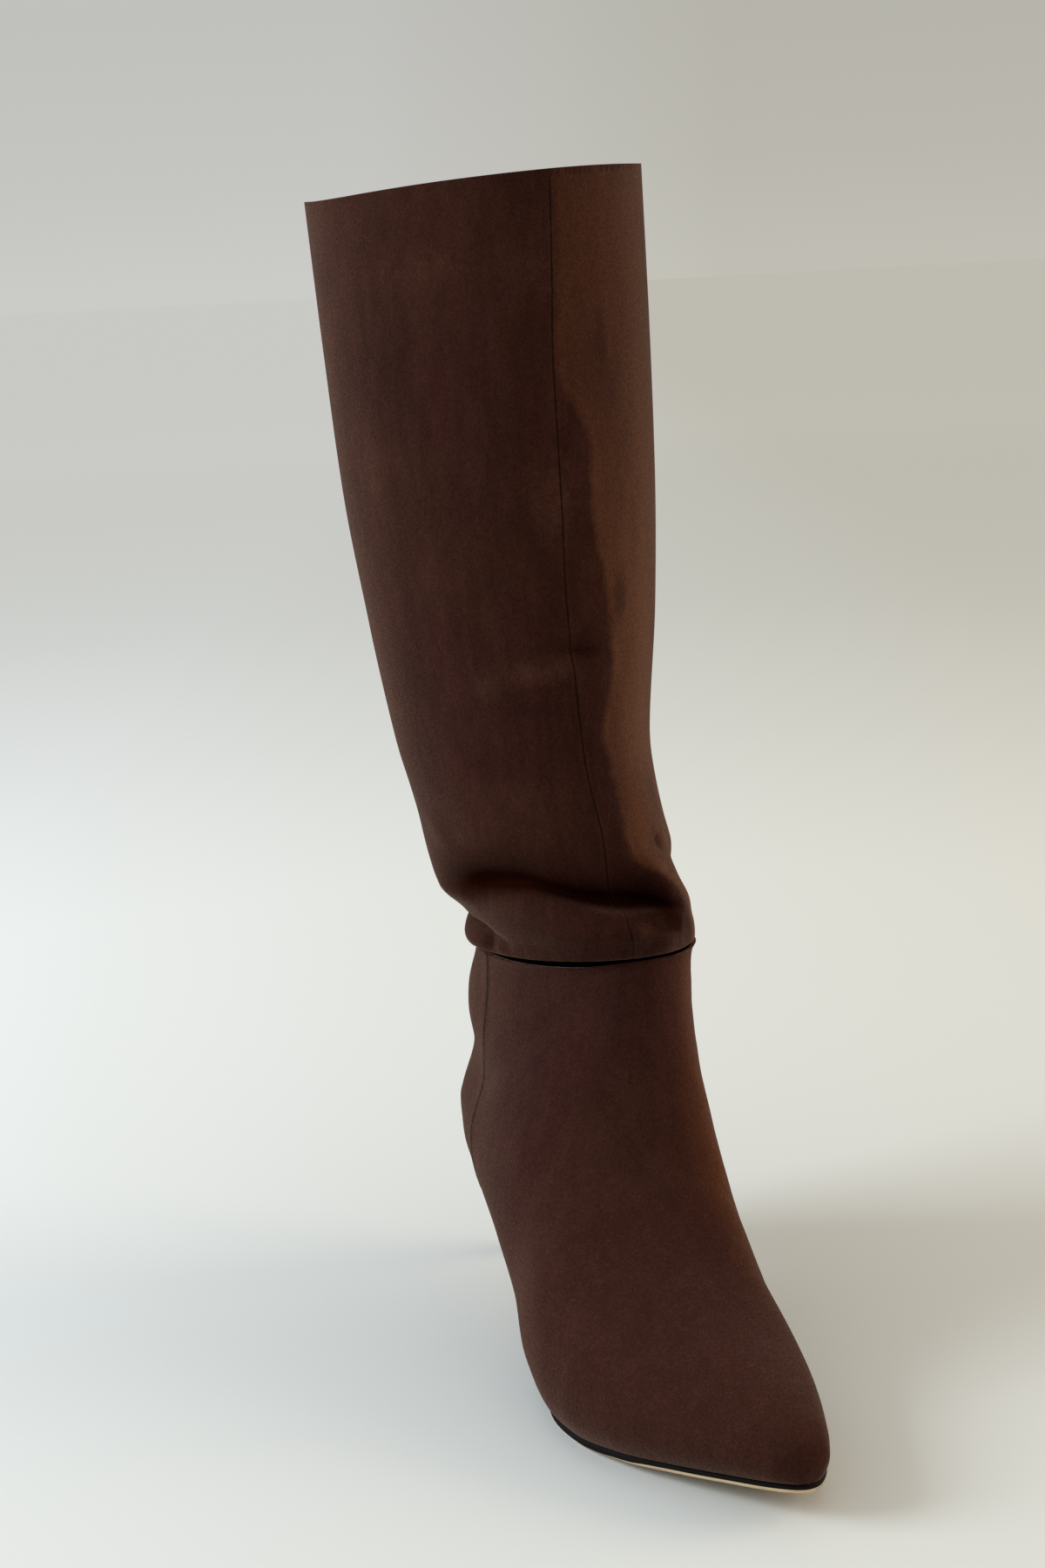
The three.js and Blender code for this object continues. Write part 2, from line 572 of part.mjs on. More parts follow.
function heelGeometry() {
  const drops = [0, 0.035, 0.07, 0.115, 0.16, 0.215, 0.27, 0.335, 0.4, 0.475, 0.55, 0.635, 0.72, 0.87, 1];
  return stackGeometry(
    drops.map((drop) => {
      const read = (column) => follow(heelRings, "drop", column, drop);
      return heelRing({ drop, back: read("back"), breast: read("breast"), width: read("width") });
    }),
  );
}

function topPieceGeometry() {
  const heelTip = heelRing(heelRings.at(-1));
  const at = (height) => heelTip.map((point) => point.clone().setZ(height));
  return stackGeometry([at(topPieceThickness - pieceGap), at(0)]);
}

const suede = new THREE.MeshStandardMaterial({ color: 0x3e221e, roughness: 0.95, metalness: 0 });
const soleLeather = new THREE.MeshStandardMaterial({ color: 0xb59a78, roughness: 0.6, metalness: 0 });
const lining = new THREE.MeshStandardMaterial({ color: 0x2a211d, roughness: 0.85, metalness: 0 });
const tipRubber = new THREE.MeshStandardMaterial({ color: 0x232324, roughness: 0.7, metalness: 0 });

const pieces = {
  outsole: [
    soleGeometry({
      from: (heelSeat + pieceGap) / footLength,
      to: 1,
      inset: 0,
      bottom: -pieceGap - outsoleThickness,
      thickness: outsoleThickness,
    }),
    soleLeather,
  ],
  insole: [
    soleGeometry({
      from: (upperWall + insoleEase) / footLength,
      to: 1 - (toePuff + upperWall + insoleEase) / footLength,
      inset: upperWall + insoleEase,
      bottom: 0,
      thickness: insoleThickness,
    }),
    lining,
  ],
  heel: [heelGeometry(), suede],
  heel_top_piece: [topPieceGeometry(), tipRubber],
  upper: [upperGeometry(), suede],
  shaft: [shaftGeometry(), suede],
};

const boot = new THREE.Group();
for (const [name, [geometry, material]] of Object.entries(pieces)) {
  const mesh = new THREE.Mesh(geometry, material);
  mesh.name = name;
  boot.add(mesh);
}

// The origin is the middle of the boot's box, on the floor
const box = new THREE.Box3().setFromObject(boot);
const centre = box.getCenter(new THREE.Vector3());
boot.position.set(-centre.x, -centre.y, -box.min.z);

const root = new THREE.Group();
root.add(boot);
export default root;
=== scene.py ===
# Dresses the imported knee-high slouch boot: suede over upper, shaft and heel, sole, linings and seams.
import math

import bmesh
import bpy
import numpy as np
from mathutils import Matrix, Vector


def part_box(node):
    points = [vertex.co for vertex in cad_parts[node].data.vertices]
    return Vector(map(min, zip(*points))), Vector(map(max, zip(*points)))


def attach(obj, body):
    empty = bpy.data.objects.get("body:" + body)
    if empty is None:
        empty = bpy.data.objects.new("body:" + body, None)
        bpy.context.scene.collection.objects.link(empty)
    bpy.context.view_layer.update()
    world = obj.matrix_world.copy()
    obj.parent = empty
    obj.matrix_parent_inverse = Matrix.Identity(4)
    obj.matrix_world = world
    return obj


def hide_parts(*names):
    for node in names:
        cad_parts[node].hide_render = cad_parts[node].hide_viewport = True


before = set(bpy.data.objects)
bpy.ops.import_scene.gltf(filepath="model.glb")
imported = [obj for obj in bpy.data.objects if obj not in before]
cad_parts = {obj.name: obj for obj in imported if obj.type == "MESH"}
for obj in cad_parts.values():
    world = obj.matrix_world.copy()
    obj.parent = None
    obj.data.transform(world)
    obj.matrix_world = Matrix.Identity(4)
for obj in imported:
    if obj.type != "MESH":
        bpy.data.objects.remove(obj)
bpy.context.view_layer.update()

MM = 0.001

# Sizes and places read from the frame
heel_low, heel_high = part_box("heel")
_, sole_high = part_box("outsole")
tip_low, tip_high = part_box("heel_top_piece")
GAP = 0.3 * MM
FOOT_LENGTH = sole_high[0] - heel_low[0]
HEEL_HEIGHT = heel_high[2] + GAP
MIDDLE_LINE = (tip_low[1] + tip_high[1]) / 2
PLACE = np.array([heel_low[0], MIDDLE_LINE, 0.0])

# Sizes of the boot that the frame doesn't state
BALL_WIDTH = 82 * MM
INSTEP_HEIGHT = 79 * MM
TOE_SPRING = 10 * MM
ANKLE_RISE = 74 * MM
SHAFT_RISE = 283 * MM
OUTSOLE = 3 * MM
INSOLE = 2.2 * MM
TOP_PIECE = 5 * MM
UPPER_WALL = 1.8 * MM
FEATHER = OUTSOLE + GAP
TOE_PUFF = 9 * MM
HEEL_SEAT = 40 * MM
COLLAR_TILT = 0.065


def table(columns, *rows):
    """A short table as one array for each named column."""
    return dict(zip(columns.split(), np.array(rows, float).T))


HEEL_RISE = table(
    "along rise",
    (0, 1), (0.1, 0.873), (0.195, 0.746), (0.27, 0.623), (0.35, 0.447), (0.4, 0.315),
    (0.455, 0.165), (0.51, 0.046), (0.56, 0), (1, 0),
)
TOE_RISE = table(
    "along rise",
    (0, 0), (0.66, 0), (0.72, 0.07), (0.78, 0.22), (0.87, 0.52), (0.95, 0.82), (1, 1),
)
OUTLINE = table(
    "along middle half",
    (0, 0, 0), (0.02, 0, 0.165), (0.05, 0, 0.25), (0.1, 0, 0.317), (0.17, 0, 0.347),
    (0.25, -0.01, 0.341), (0.36, -0.035, 0.311), (0.46, -0.065, 0.335), (0.56, -0.085, 0.42),
    (0.64, -0.08, 0.47), (0.7, -0.06, 0.465), (0.78, -0.02, 0.41), (0.86, 0.03, 0.305),
    (0.92, 0.065, 0.21), (0.96, 0.085, 0.14), (0.985, 0.095, 0.08), (1, 0.1, 0),
)
UPPER = table(
    "foot back top rise outer inner widest ridge",
    (1, 0, 1.002, 0.02, 0.01, 0.01, 0.5, 0.1),
    (0.997, 0, 1.008, 0.08, 0.061, 0.05, 0.45, 0.098),
    (0.984, 0, 1.003, 0.155, 0.13, 0.095, 0.42, 0.094),
    (0.961, 0, 0.977, 0.235, 0.195, 0.142, 0.4, 0.087),
    (0.922, 0, 0.934, 0.3, 0.275, 0.205, 0.38, 0.072),
    (0.86, 0, 0.868, 0.385, 0.385, 0.3, 0.36, 0.042),
    (0.787, 0, 0.791, 0.485, 0.48, 0.395, 0.34, 0.008),
    (0.705, 0, 0.709, 0.625, 0.54, 0.465, 0.32, -0.02),
    (0.632, 0, 0.643, 0.78, 0.55, 0.485, 0.32, -0.025),
    (0.55, 0, 0.589, 0.95, 0.54, 0.485, 0.34, -0.015),
    (0.457, 0, 0.55, 1.018, 0.52, 0.465, 0.36, 0.01),
    (0.357, 0, 0.523, 0.992, 0.545, 0.445, 0.36, 0.035),
    (0.256, 0, 0.504, 0.977, 0.555, 0.44, 0.34, 0.055),
    (0.155, 0, 0.49, 0.985, 0.545, 0.455, 0.34, 0.067),
    (0.07, 0, 0.481, 0.995, 0.515, 0.47, 0.36, 0.075),
    (0.016, 0, 0.475, 1.005, 0.504, 0.478, 0.39, 0.079),
    (0, 0, 0.473, 1.02, 0.497, 0.48, 0.41, 0.08),
    (-0.014, 0.135, 0.471, 1.038, 0.485, 0.48, 0.42, 0.082),
    (-0.023, 0.378, 0.467, 1.058, 0.471, 0.475, 0.44, 0.083),
    (-0.016, 0.649, 0.465, 1.074, 0.461, 0.468, 0.46, 0.084),
    (0.014, 0.892, 0.463, 1.086, 0.461, 0.466, 0.48, 0.085),
    (0.027, 1, 0.463, 1.095, 0.465, 0.465, 0.5, 0.085),
)
HEEL_CORNER = 16
# Hollow between the heel and the ankle bone: place and size in shares of FOOT_LENGTH, depths of BALL_WIDTH
HOLLOW_ALONG, HOLLOW_LENGTH = 0.1, 0.18
HOLLOW_UP, HOLLOW_REACH = 0.36, 0.055
HOLLOW_OUTER, HOLLOW_INNER = 0.075, 0.03
SHAFT = table(
    "height back front width sway",
    (0, 0, 0, 1, 0), (0.02, -0.02, 0.014, 1.005, -0.005), (0.05, -0.04, 0.022, 1.03, -0.03),
    (0.1, -0.06, 0.01, 1.06, -0.075), (0.16, -0.078, -0.01, 1.11, -0.125),
    (0.28, -0.102, -0.028, 1.21, -0.185), (0.44, -0.133, -0.02, 1.36, -0.195),
    (0.62, -0.159, -0.004, 1.465, -0.222), (0.8, -0.18, 0.004, 1.51, -0.24),
    (1, -0.192, 0.008, 1.545, -0.262),
)
# Folds that run around the shaft, each as rows by angle: 0 is the front, negative is the outer side.
# level is a share of the shaft's height, push is out or in, below and above are the reach to either side,
# drop lets the cloth above the fold sag over it.
FOLD = "angle level push below above drop"
LOWER_ROLL = table(
    FOLD,
    (-180, 0.034, 0.03, 0.016, 0.02, 0), (-125, 0.017, 0.046, 0.011, 0.009, 0),
    (-104, 0.016, 0.05, 0.011, 0.009, 0), (-88, 0.015, 0.03, 0.012, 0.011, 0),
    (-60, 0.03, 0.008, 0.018, 0.02, 0),
    (-20, 0.036, 0.022, 0.02, 0.024, 0), (0, 0.036, 0.03, 0.02, 0.024, 0),
    (15, 0.036, 0.026, 0.02, 0.022, 0), (28, 0.038, 0.0, 0.018, 0.02, 0),
    (60, 0.036, -0.018, 0.018, 0.018, 0), (120, 0.036, 0.02, 0.018, 0.022, 0),
    (180, 0.034, 0.03, 0.016, 0.02, 0),
)
MAIN_FOLD = table(
    FOLD,
    (-180, 0.09, 0, 0.015, 0.025, 0), (-108, 0.09, 0, 0.015, 0.025, 0),
    (-85, 0.095, -0.034, 0.018, 0.026, 0.01), (-62, 0.103, -0.058, 0.018, 0.027, 0.02),
    (-46, 0.109, -0.072, 0.016, 0.028, 0.03), (-30, 0.111, -0.088, 0.013, 0.03, 0.04),
    (-19, 0.1, -0.1, 0.009, 0.033, 0.045), (-10, 0.088, -0.125, 0.008, 0.04, 0.05),
    (-2, 0.08, -0.14, 0.0075, 0.042, 0.05), (8, 0.0755, -0.14, 0.0075, 0.034, 0.045),
    (15, 0.07, -0.11, 0.0075, 0.022, 0.035), (20, 0.063, -0.05, 0.007, 0.012, 0.015),
    (26, 0.057, 0, 0.007, 0.01, 0), (180, 0.055, 0, 0.007, 0.01, 0),
)
UPPER_ROLL = table(
    FOLD,
    (-180, 0.12, 0.02, 0.03, 0.05, 0), (-125, 0.09, 0.055, 0.022, 0.07, 0),
    (-100, 0.082, 0.072, 0.022, 0.07, 0), (-80, 0.088, 0.066, 0.02, 0.065, 0),
    (-55, 0.13, 0.03, 0.024, 0.05, 0), (-25, 0.16, 0.012, 0.024, 0.05, 0), (0, 0.155, 0.012, 0.03, 0.05, 0),
    (14, 0.11, 0.012, 0.02, 0.04, 0), (24, 0.088, 0.01, 0.014, 0.035, 0), (34, 0.08, 0.0, 0.014, 0.03, 0),
    (60, 0.12, 0.01, 0.02, 0.04, 0), (120, 0.15, 0.035, 0.025, 0.04, 0), (180, 0.12, 0.02, 0.03, 0.05, 0),
)
OUTER_FOLD = table(
    FOLD,
    (-180, 0.056, 0, 0.01, 0.014, 0), (-150, 0.05, -0.03, 0.01, 0.014, 0.01),
    (-117, 0.035, -0.05, 0.008, 0.012, 0.02), (-100, 0.033, -0.05, 0.008, 0.012, 0.015),
    (-86, 0.031, -0.042, 0.007, 0.011, 0.01), (-76, 0.028, -0.034, 0.007, 0.01, 0.005),
    (-67, 0.024, -0.024, 0.007, 0.009, 0), (-58, 0.02, -0.01, 0.007, 0.009, 0),
    (-50, 0.017, 0, 0.007, 0.009, 0), (180, 0.06, 0, 0.01, 0.014, 0),
)
INNER_FOLD = table(
    FOLD,
    (-180, 0.05, 0, 0.012, 0.02, 0), (30, 0.1, 0, 0.014, 0.016, 0), (42, 0.09, -0.055, 0.018, 0.02, 0.01),
    (56, 0.083, -0.082, 0.021, 0.022, 0.02), (90, 0.084, -0.085, 0.018, 0.022, 0.03),
    (125, 0.085, -0.075, 0.012, 0.026, 0.03), (155, 0.07, -0.06, 0.012, 0.02, 0.02),
    (178, 0.06, 0, 0.012, 0.02, 0), (180, 0.05, 0, 0.012, 0.02, 0),
)
BACK_FOLD = table(
    FOLD,
    (-180, 0.125, -0.035, 0.016, 0.03, 0.01), (-160, 0.14, -0.03, 0.016, 0.03, 0.01),
    (-135, 0.165, 0, 0.016, 0.03, 0), (90, 0.2, 0, 0.016, 0.03, 0), (130, 0.165, -0.03, 0.016, 0.03, 0.01),
    (160, 0.14, -0.045, 0.016, 0.03, 0.02), (180, 0.125, -0.035, 0.016, 0.03, 0.01),
)
# Each fold with how much painted shade it gets
FOLDS = (
    (LOWER_ROLL, 0), (MAIN_FOLD, 1), (UPPER_ROLL, 0),
    (OUTER_FOLD, 0.4), (INNER_FOLD, 0.6), (BACK_FOLD, 0.6),
)
# Soft creases and dents of the shaft between two places, each given as an angle and a height
SHAFT_CREASES = table(
    "angle height to_angle to_height push width",
    (5, 0.055, 23, 0.036, -0.055, 0.045), (4, 0.03, 18, 0.018, 0.016, 0.03),
    (-86, 0.02, -74, 0.018, -0.028, 0.02), (-70, 0.024, -58, 0.013, 0.02, 0.016),
    (-6, 0.414, 9.8, 0.401, -0.022, 0.024), (-6, 0.385, 4, 0.38, 0.01, 0.05),
    (-30, 0.36, 4, 0.37, 0.008, 0.06), (-40, 0.3, -8, 0.2, -0.006, 0.09),
    (23, 0.15, 30, 0.13, -0.02, 0.035), (-92, 0.19, -60, 0.15, 0.012, 0.07),
    (150, 0.36, 92, 0.19, -0.022, 0.07), (130, 0.3, 74, 0.16, 0.014, 0.07),
    (-150, 0.36, -110, 0.22, -0.012, 0.09), (170, 0.62, 140, 0.46, -0.008, 0.1),
    (-165, 0.57, -140, 0.44, -0.008, 0.1),
)
# The edge along the shin leaves the front seam and turns a little to the inner side as it comes down
SHIN = table(
    "height angle push",
    (0.04, 30, 0), (0.075, 26.5, 0.012), (0.1, 20, 0.022), (0.118, 14, 0.026), (0.13, 8.5, 0.026),
    (0.15, 5.5, 0.026), (0.2, 5.7, 0.026), (0.28, 7.8, 0.024), (0.41, 8, 0.024), (0.48, 9.5, 0.022),
    (0.55, 7.4, 0.02), (0.62, 3.8, 0.018), (0.7, 0.5, 0.018), (0.8, -1, 0.02), (1, 0, 0.024),
)
# The front seam wanders a little from the middle of the front
FRONT_SEAM = table(
    "height angle",
    (0, -1.7), (0.04, -1.9), (0.08, -0.6), (0.12, -0.5), (0.185, 0.9), (0.25, 1.3), (0.34, 0.4),
    (0.41, -0.9), (0.5, -1.4), (0.59, -0.9), (0.76, -0.9), (0.89, 0.4), (1, 1.5),
)
# Edge of the band of painted highlight on the inner side of the shin
STRIP_EDGE = table(
    "height angle",
    (0, 32), (0.055, 27.5), (0.087, 21.5), (0.105, 16.5), (0.122, 10.5), (0.137, 6.3), (0.158, 6.8),
    (0.207, 8.8), (0.255, 8.8), (0.2955, 6.8), (0.344, 9.6), (0.39, 11.4), (0.41, 11.4),
    (0.464, 10.4), (0.5125, 8.7), (0.5526, 7.1), (0.584, 6.6), (0.678, 7), (0.7, 4.5),
    (0.756, -0.6), (0.8, -0.9), (0.89, 0.4), (1, 1.5),
)
# Patches of pile flattened or brushed up, and broad lighter patches of painted sheen on the outer side:
# middle, size and how much lighter or darker they look
NAP_AND_SHEEN = table(
    "angle height wide tall tone",
    (13.5, 0.79, 3, 0.05, -1), (17, 0.73, 2, 0.03, -0.7), (16.5, 0.468, 3.5, 0.036, -1.1),
    (36, 0.19, 8, 0.05, -1), (15, 0.39, 2.5, 0.03, 0.7), (20, 0.3, 3, 0.06, 0.5),
    (24, 0.24, 5, 0.03, -0.4),
    (-12, 0.385, 13, 0.02, 0.6), (-12, 0.335, 15, 0.012, -0.7), (0, 0.42, 8, 0.012, -0.8),
    (-27, 0.36, 4, 0.03, 0.45), (-52, 0.16, 16, 0.02, 0.3), (-45, 0.2, 16, 0.014, -0.4),
    (-45, 0.8, 9, 0.05, -0.8), (-25, 0.6, 12, 0.06, -0.3), (-64, 0.66, 6, 0.09, 0.5),
    (-84, 0.9, 8, 0.03, -0.8), (-60, 0.42, 8, 0.05, -0.6), (-88, 0.22, 12, 0.03, -0.7),
    (-94, 0.58, 20, 0.16, 0.3), (-92, 0.35, 24, 0.12, 0.3), (-30, 0.9, 14, 0.03, 0.4),
    (-20, 0.22, 12, 0.03, 0.4), (-3, 0.61, 8, 0.06, 0.6), (-3, 0.88, 7, 0.04, 0.4),
    (3, 0.046, 4, 0.014, 0.6), (20, 0.012, 9, 0.007, 0.6), (16.5, 0.145, 3, 0.014, 0.7),
    (20, 0.115, 3.5, 0.014, 0.8), (25, 0.09, 4, 0.012, 0.8), (25, 0.142, 3.5, 0.014, -0.9),
    (60, 0.6, 10, 0.08, 0.7), (95, 0.75, 14, 0.06, -0.7), (120, 0.4, 16, 0.09, 0.6),
    (150, 0.7, 12, 0.08, 0.5), (-150, 0.75, 14, 0.07, 0.6), (-125, 0.5, 12, 0.09, -0.7),
    (175, 0.3, 10, 0.06, -0.6), (-140, 0.25, 16, 0.04, 0.5),
)
# Creases of the upper, drawn in the side view: ends as shares of FOOT_LENGTH along and up,
# side = -1 outer, 1 inner, 0 both
UPPER_CREASES = table(
    "along up to_along to_up side push width",
    (0.5, 0.5, 0.56, 0.36, 1, -0.012, 0.035), (0.54, 0.42, 0.6, 0.3, 1, 0.008, 0.03),
    (0.57, 0.36, 0.64, 0.24, 1, -0.01, 0.03), (0.68, 0.16, 0.72, 0.03, 1, -0.007, 0.03),
    (0.64, 0.22, 0.69, 0.05, 1, -0.008, 0.025), (0.66, 0.2, 0.7, 0.04, -1, -0.006, 0.035),
    (0.5, 0.54, 0.44, 0.42, -1, -0.006, 0.05), (0.12, 0.5, 0.34, 0.44, 0, -0.006, 0.04),
    (0.16, 0.43, 0.3, 0.4, 1, -0.006, 0.03),
)
# Side seams of the upper in the same side view, from the ankle seam to the sole
SIDE_SEAM = table(
    "along up",
    (0.25, 0.56), (0.247, 0.5), (0.25, 0.42), (0.262, 0.34), (0.275, 0.26), (0.288, 0.19), (0.3, 0.1),
)

# How full the bows are: 2 is an ellipse, more is squarer. The shaft turns rounder above the ankle.
ANKLE_FULLNESS = 2.15
COLLAR_FULLNESS = 1.9
ROUND_FROM = 0.25
# Sag and shade of a fold as shares of its reach, with the push that shades it fully and the reach's limit
SAG_PLACE, SAG_REACH = 0.7, 0.8
SHADE_BELOW, SHADE_ABOVE, SHADE_LIMIT = 1.3, 1.5, 0.04
SHADE_PUSH, SHADE_MOST = 0.055, 1.25
CREASE_SHADE_PUSH, CREASE_SHADE_MOST = 0.04, 0.6
# Creases: how much is left at their ends, and how much wider they spread on the shaft
CREASE_ENDS, CREASE_SPREAD = 0.25, 2.2
UPPER_CREASE_ENDS = 0.2
# Width of one radian of the rolled-out shaft in ankle half widths
GIRTH = 1.2
# Small forms of the shaft: angles in degrees, heights as shares of its own, depths as shares of BALL_WIDTH
SHIN_WIDTH, SHIN_ROUNDING = 11, 0.25
SHIN_HOLLOW, SHIN_HOLLOW_ANGLE, SHIN_HOLLOW_WIDTH = 0.6, 30, 20
ROOT_HEIGHT = 0.02
SEAM_WIDTH, FRONT_RIDGE, BACK_RIDGE = 3.2, 0.003, 0.008
TUCK, TUCK_HEIGHT = 0.024, 0.0035
INNER_TUCK_ANGLE, INNER_TUCK_WIDTH, INNER_TUCK_HEIGHT = 60, 40, 0.012
DROOP, MORE_DROOP, DROOP_LEVEL, DROOP_REACH = 0.028, 0.01, 0.013, 0.008
OPEN_ANGLE, OPEN_WIDTH = -24, 34
COLLAR_WAVE, WAVE_FROM, WAVES, WAVE_TURN = 0.5 * MM, 0.97, 3, 40


def follow(source, column, at, key=None):
    """Smooth curve through a table's rows that never overshoots them."""
    y = np.asarray(source[column] if isinstance(column, str) else column, float)
    x = source[key] if key else np.arange(len(y), dtype=float)
    at = np.clip(np.asarray(at, float), x[0], x[-1])
    width = np.diff(x)
    rise = np.diff(y) / width
    slope = np.empty_like(y)
    slope[0] = rise[0]
    slope[-1] = rise[-1]
    before = 2 * width[1:] + width[:-1]
    after = width[1:] + 2 * width[:-1]
    same = rise[:-1] * rise[1:] > 0
    safe = np.where(same, rise[:-1], 1.0), np.where(same, rise[1:], 1.0)
    slope[1:-1] = np.where(same, (before + after) / (before / safe[0] + after / safe[1]), 0.0)
    k = np.clip(np.searchsorted(x, at, side="right") - 1, 0, len(x) - 2)
    t = (at - x[k]) / width[k]
    ends = y[k] * (1 + 2 * t) * (1 - t) ** 2 + y[k + 1] * (3 - 2 * t) * t**2
    return ends + width[k] * (slope[k] * t * (1 - t) ** 2 - slope[k + 1] * t**2 * (1 - t))


def row_at(source, at, key=None):
    """Every column of a table at one place or several, but for its key."""
    return {name: follow(source, name, at, key) for name in source if name != key}


def feather_height(along):
    heel = (HEEL_HEIGHT - FEATHER) * follow(HEEL_RISE, "rise", along, "along")
    return FEATHER + heel + TOE_SPRING * follow(TOE_RISE, "rise", along, "along")


def middle_of(along):
    return BALL_WIDTH * follow(OUTLINE, "middle", along, "along")


def half_of(along):
    squared = follow(OUTLINE, OUTLINE["half"] ** 2, along, "along")
    return BALL_WIDTH * np.sqrt(np.maximum(squared, 0))


def inset_outline(along, inset):
    """The sole's outline drawn in: place along it, middle and half width."""
    reach = np.maximum(along, inset / FOOT_LENGTH)
    step = 0.004
    slope = (half_of(reach + step) - half_of(reach - step)) / (2 * step * FOOT_LENGTH)
    half = half_of(reach) - inset * np.minimum(2, np.hypot(1, slope))
    return reach * FOOT_LENGTH, middle_of(reach), np.maximum(0, half)


def quarter_turns(count, cluster=1.0):
    """Angles of a quarter turn, closer together at its start when cluster is under 1."""
    t = np.linspace(0, 1, count + 1)
    return (math.pi / 2) * (cluster * t + (1 - cluster) * t**3)


def bow(foot, ridge, outer, inner, widest, foot_half, fullness, low, high):
    """A bow from the outer foot over the ridge to the inner foot. low and high are its turns."""
    power = 2 / fullness
    out_low = np.sin(low) ** power
    out_high = np.maximum(np.cos(high[1:]), 0) ** power
    climb = np.concatenate([
        widest * (1 - np.maximum(np.cos(low), 0) ** power),
        widest + (1 - widest) * np.sin(high[1:]) ** power,
    ])

    def side(half, sign):
        wide = np.sqrt(np.maximum(foot_half**2 + (half**2 - foot_half**2) * out_low**2, 0))
        points = foot + (ridge - foot) * climb[:, None]
        points[:, 1] += sign * np.concatenate([wide, half * out_high])
        return points

    return np.concatenate([side(outer, -1), side(inner, 1)[::-1][1:]])


def bell(value):
    return np.exp(-(value**2))


def hollowed(points, middle):
    """Draws points of the upper towards the middle where the ankle's hollow is."""
    away = 2 * (points[:, 1] - middle) / BALL_WIDTH
    depth = np.where(away < 0, HOLLOW_OUTER, HOLLOW_INNER) * BALL_WIDTH
    length = bell((points[:, 0] / FOOT_LENGTH - HOLLOW_ALONG) / HOLLOW_LENGTH)
    height = bell((points[:, 2] / FOOT_LENGTH - HOLLOW_UP) / HOLLOW_REACH)
    points[:, 1] -= away * depth * length * height
    return points


UPPER_STEPS = 9
UPPER_LOW = quarter_turns(42)
UPPER_HIGH = quarter_turns(52)


def upper_bow(place, inset):
    """One section of the upper in the boot's own frame, drawn in by inset."""
    row = row_at(UPPER, place)
    along = row["foot"]
    ring = place >= HEEL_CORNER
    rise = feather_height(along) + row["rise"] * INSTEP_HEIGHT
    ridge = np.array([row["top"] * FOOT_LENGTH, row["ridge"] * BALL_WIDTH, rise])
    edge_x, edge_middle, edge_half = inset_outline(along, inset)
    if ring:
        heel_rise = feather_height(0) + row["back"] * ANKLE_RISE
        foot = np.array([along * FOOT_LENGTH, row["back"] * ridge[1], heel_rise])
        edge_half = 0.0
    else:
        foot = np.array([edge_x, edge_middle, feather_height(edge_x / FOOT_LENGTH)])
    across = (ridge - foot) * [1, 0, 1]
    across /= np.linalg.norm(across)
    if ring:
        foot = foot + across * inset
    outer = row["outer"] * BALL_WIDTH - inset
    inner = row["inner"] * BALL_WIDTH - inset
    turns = (UPPER_LOW, UPPER_HIGH)
    points = bow(
        foot, ridge - across * inset, outer, inner, row["widest"], edge_half, ANKLE_FULLNESS, *turns
    )
    return hollowed(points, ridge[1] / 2)


ANKLE_BACK = UPPER["foot"][-1] * FOOT_LENGTH
ANKLE_FRONT = UPPER["top"][-1] * FOOT_LENGTH
ANKLE_BACK_HEIGHT = HEEL_HEIGHT + ANKLE_RISE
ANKLE_FRONT_HEIGHT = HEEL_HEIGHT + UPPER["rise"][-1] * INSTEP_HEIGHT
ANKLE_MIDDLE = UPPER["ridge"][-1] * BALL_WIDTH
ANKLE_HALF = UPPER["outer"][-1] * BALL_WIDTH
COLLAR_HEIGHT = ANKLE_BACK_HEIGHT + SHAFT_RISE


def smooth_step(value, low, high):
    t = np.clip((value - low) / (high - low), 0, 1)
    return t * t * (3 - 2 * t)


def shaft_folds(height, angle):
    """Outward push and lift of the shaft's cloth at a height, and how much painted shade its folds give it.
    """
    push = np.zeros_like(angle)
    lift = np.zeros_like(angle)
    deep = np.zeros_like(angle)
    for fold, shade_share in FOLDS:
        row = row_at(fold, angle, "angle")
        distance = height - row["level"]
        reach = np.where(distance < 0, row["below"], row["above"])
        push += row["push"] * bell(distance / reach)
        lift -= row["drop"] * bell((distance - SAG_PLACE * row["above"]) / (SAG_REACH * row["above"]))
        shade_above = np.minimum(SHADE_ABOVE * row["above"], SHADE_LIMIT)
        shaded = np.where(distance < 0, SHADE_BELOW * row["below"], shade_above)
        deep += shade_share * np.clip(-row["push"] / SHADE_PUSH, 0, SHADE_MOST) * bell(distance / shaded)
    return push, lift, deep


def near_line(across, up, start, end, ends):
    """Distance of places from a line, and a fade along it that leaves the share ends at both of its ends."""
    line = np.subtract(end, start)
    share = np.clip(((across - start[0]) * line[0] + (up - start[1]) * line[1]) / (line @ line), 0, 1)
    gap = np.hypot(across - start[0] - share * line[0], up - start[1] - share * line[1])
    return gap, ends + (1 - ends) * np.sin(math.pi * share) ** 2


def rolled_out(angle, height):
    """A place on the rolled-out shaft, across and up, in ankle half widths."""
    return np.radians(angle) * GIRTH, height * SHAFT_RISE / ANKLE_HALF


def shaft_creases(height, angle):
    """Push of the soft creases between two places of the shaft."""
    push = np.zeros_like(angle)
    across, up = rolled_out(angle, height)
    for from_angle, from_height, to_angle, to_height, amount, width in zip(*SHAFT_CREASES.values()):
        start = rolled_out(from_angle, from_height)
        end = rolled_out(to_angle, to_height)
        gap, fade = near_line(across, up, start, end, CREASE_ENDS)
        push += amount * fade * bell(gap / (width * CREASE_SPREAD))
    return push


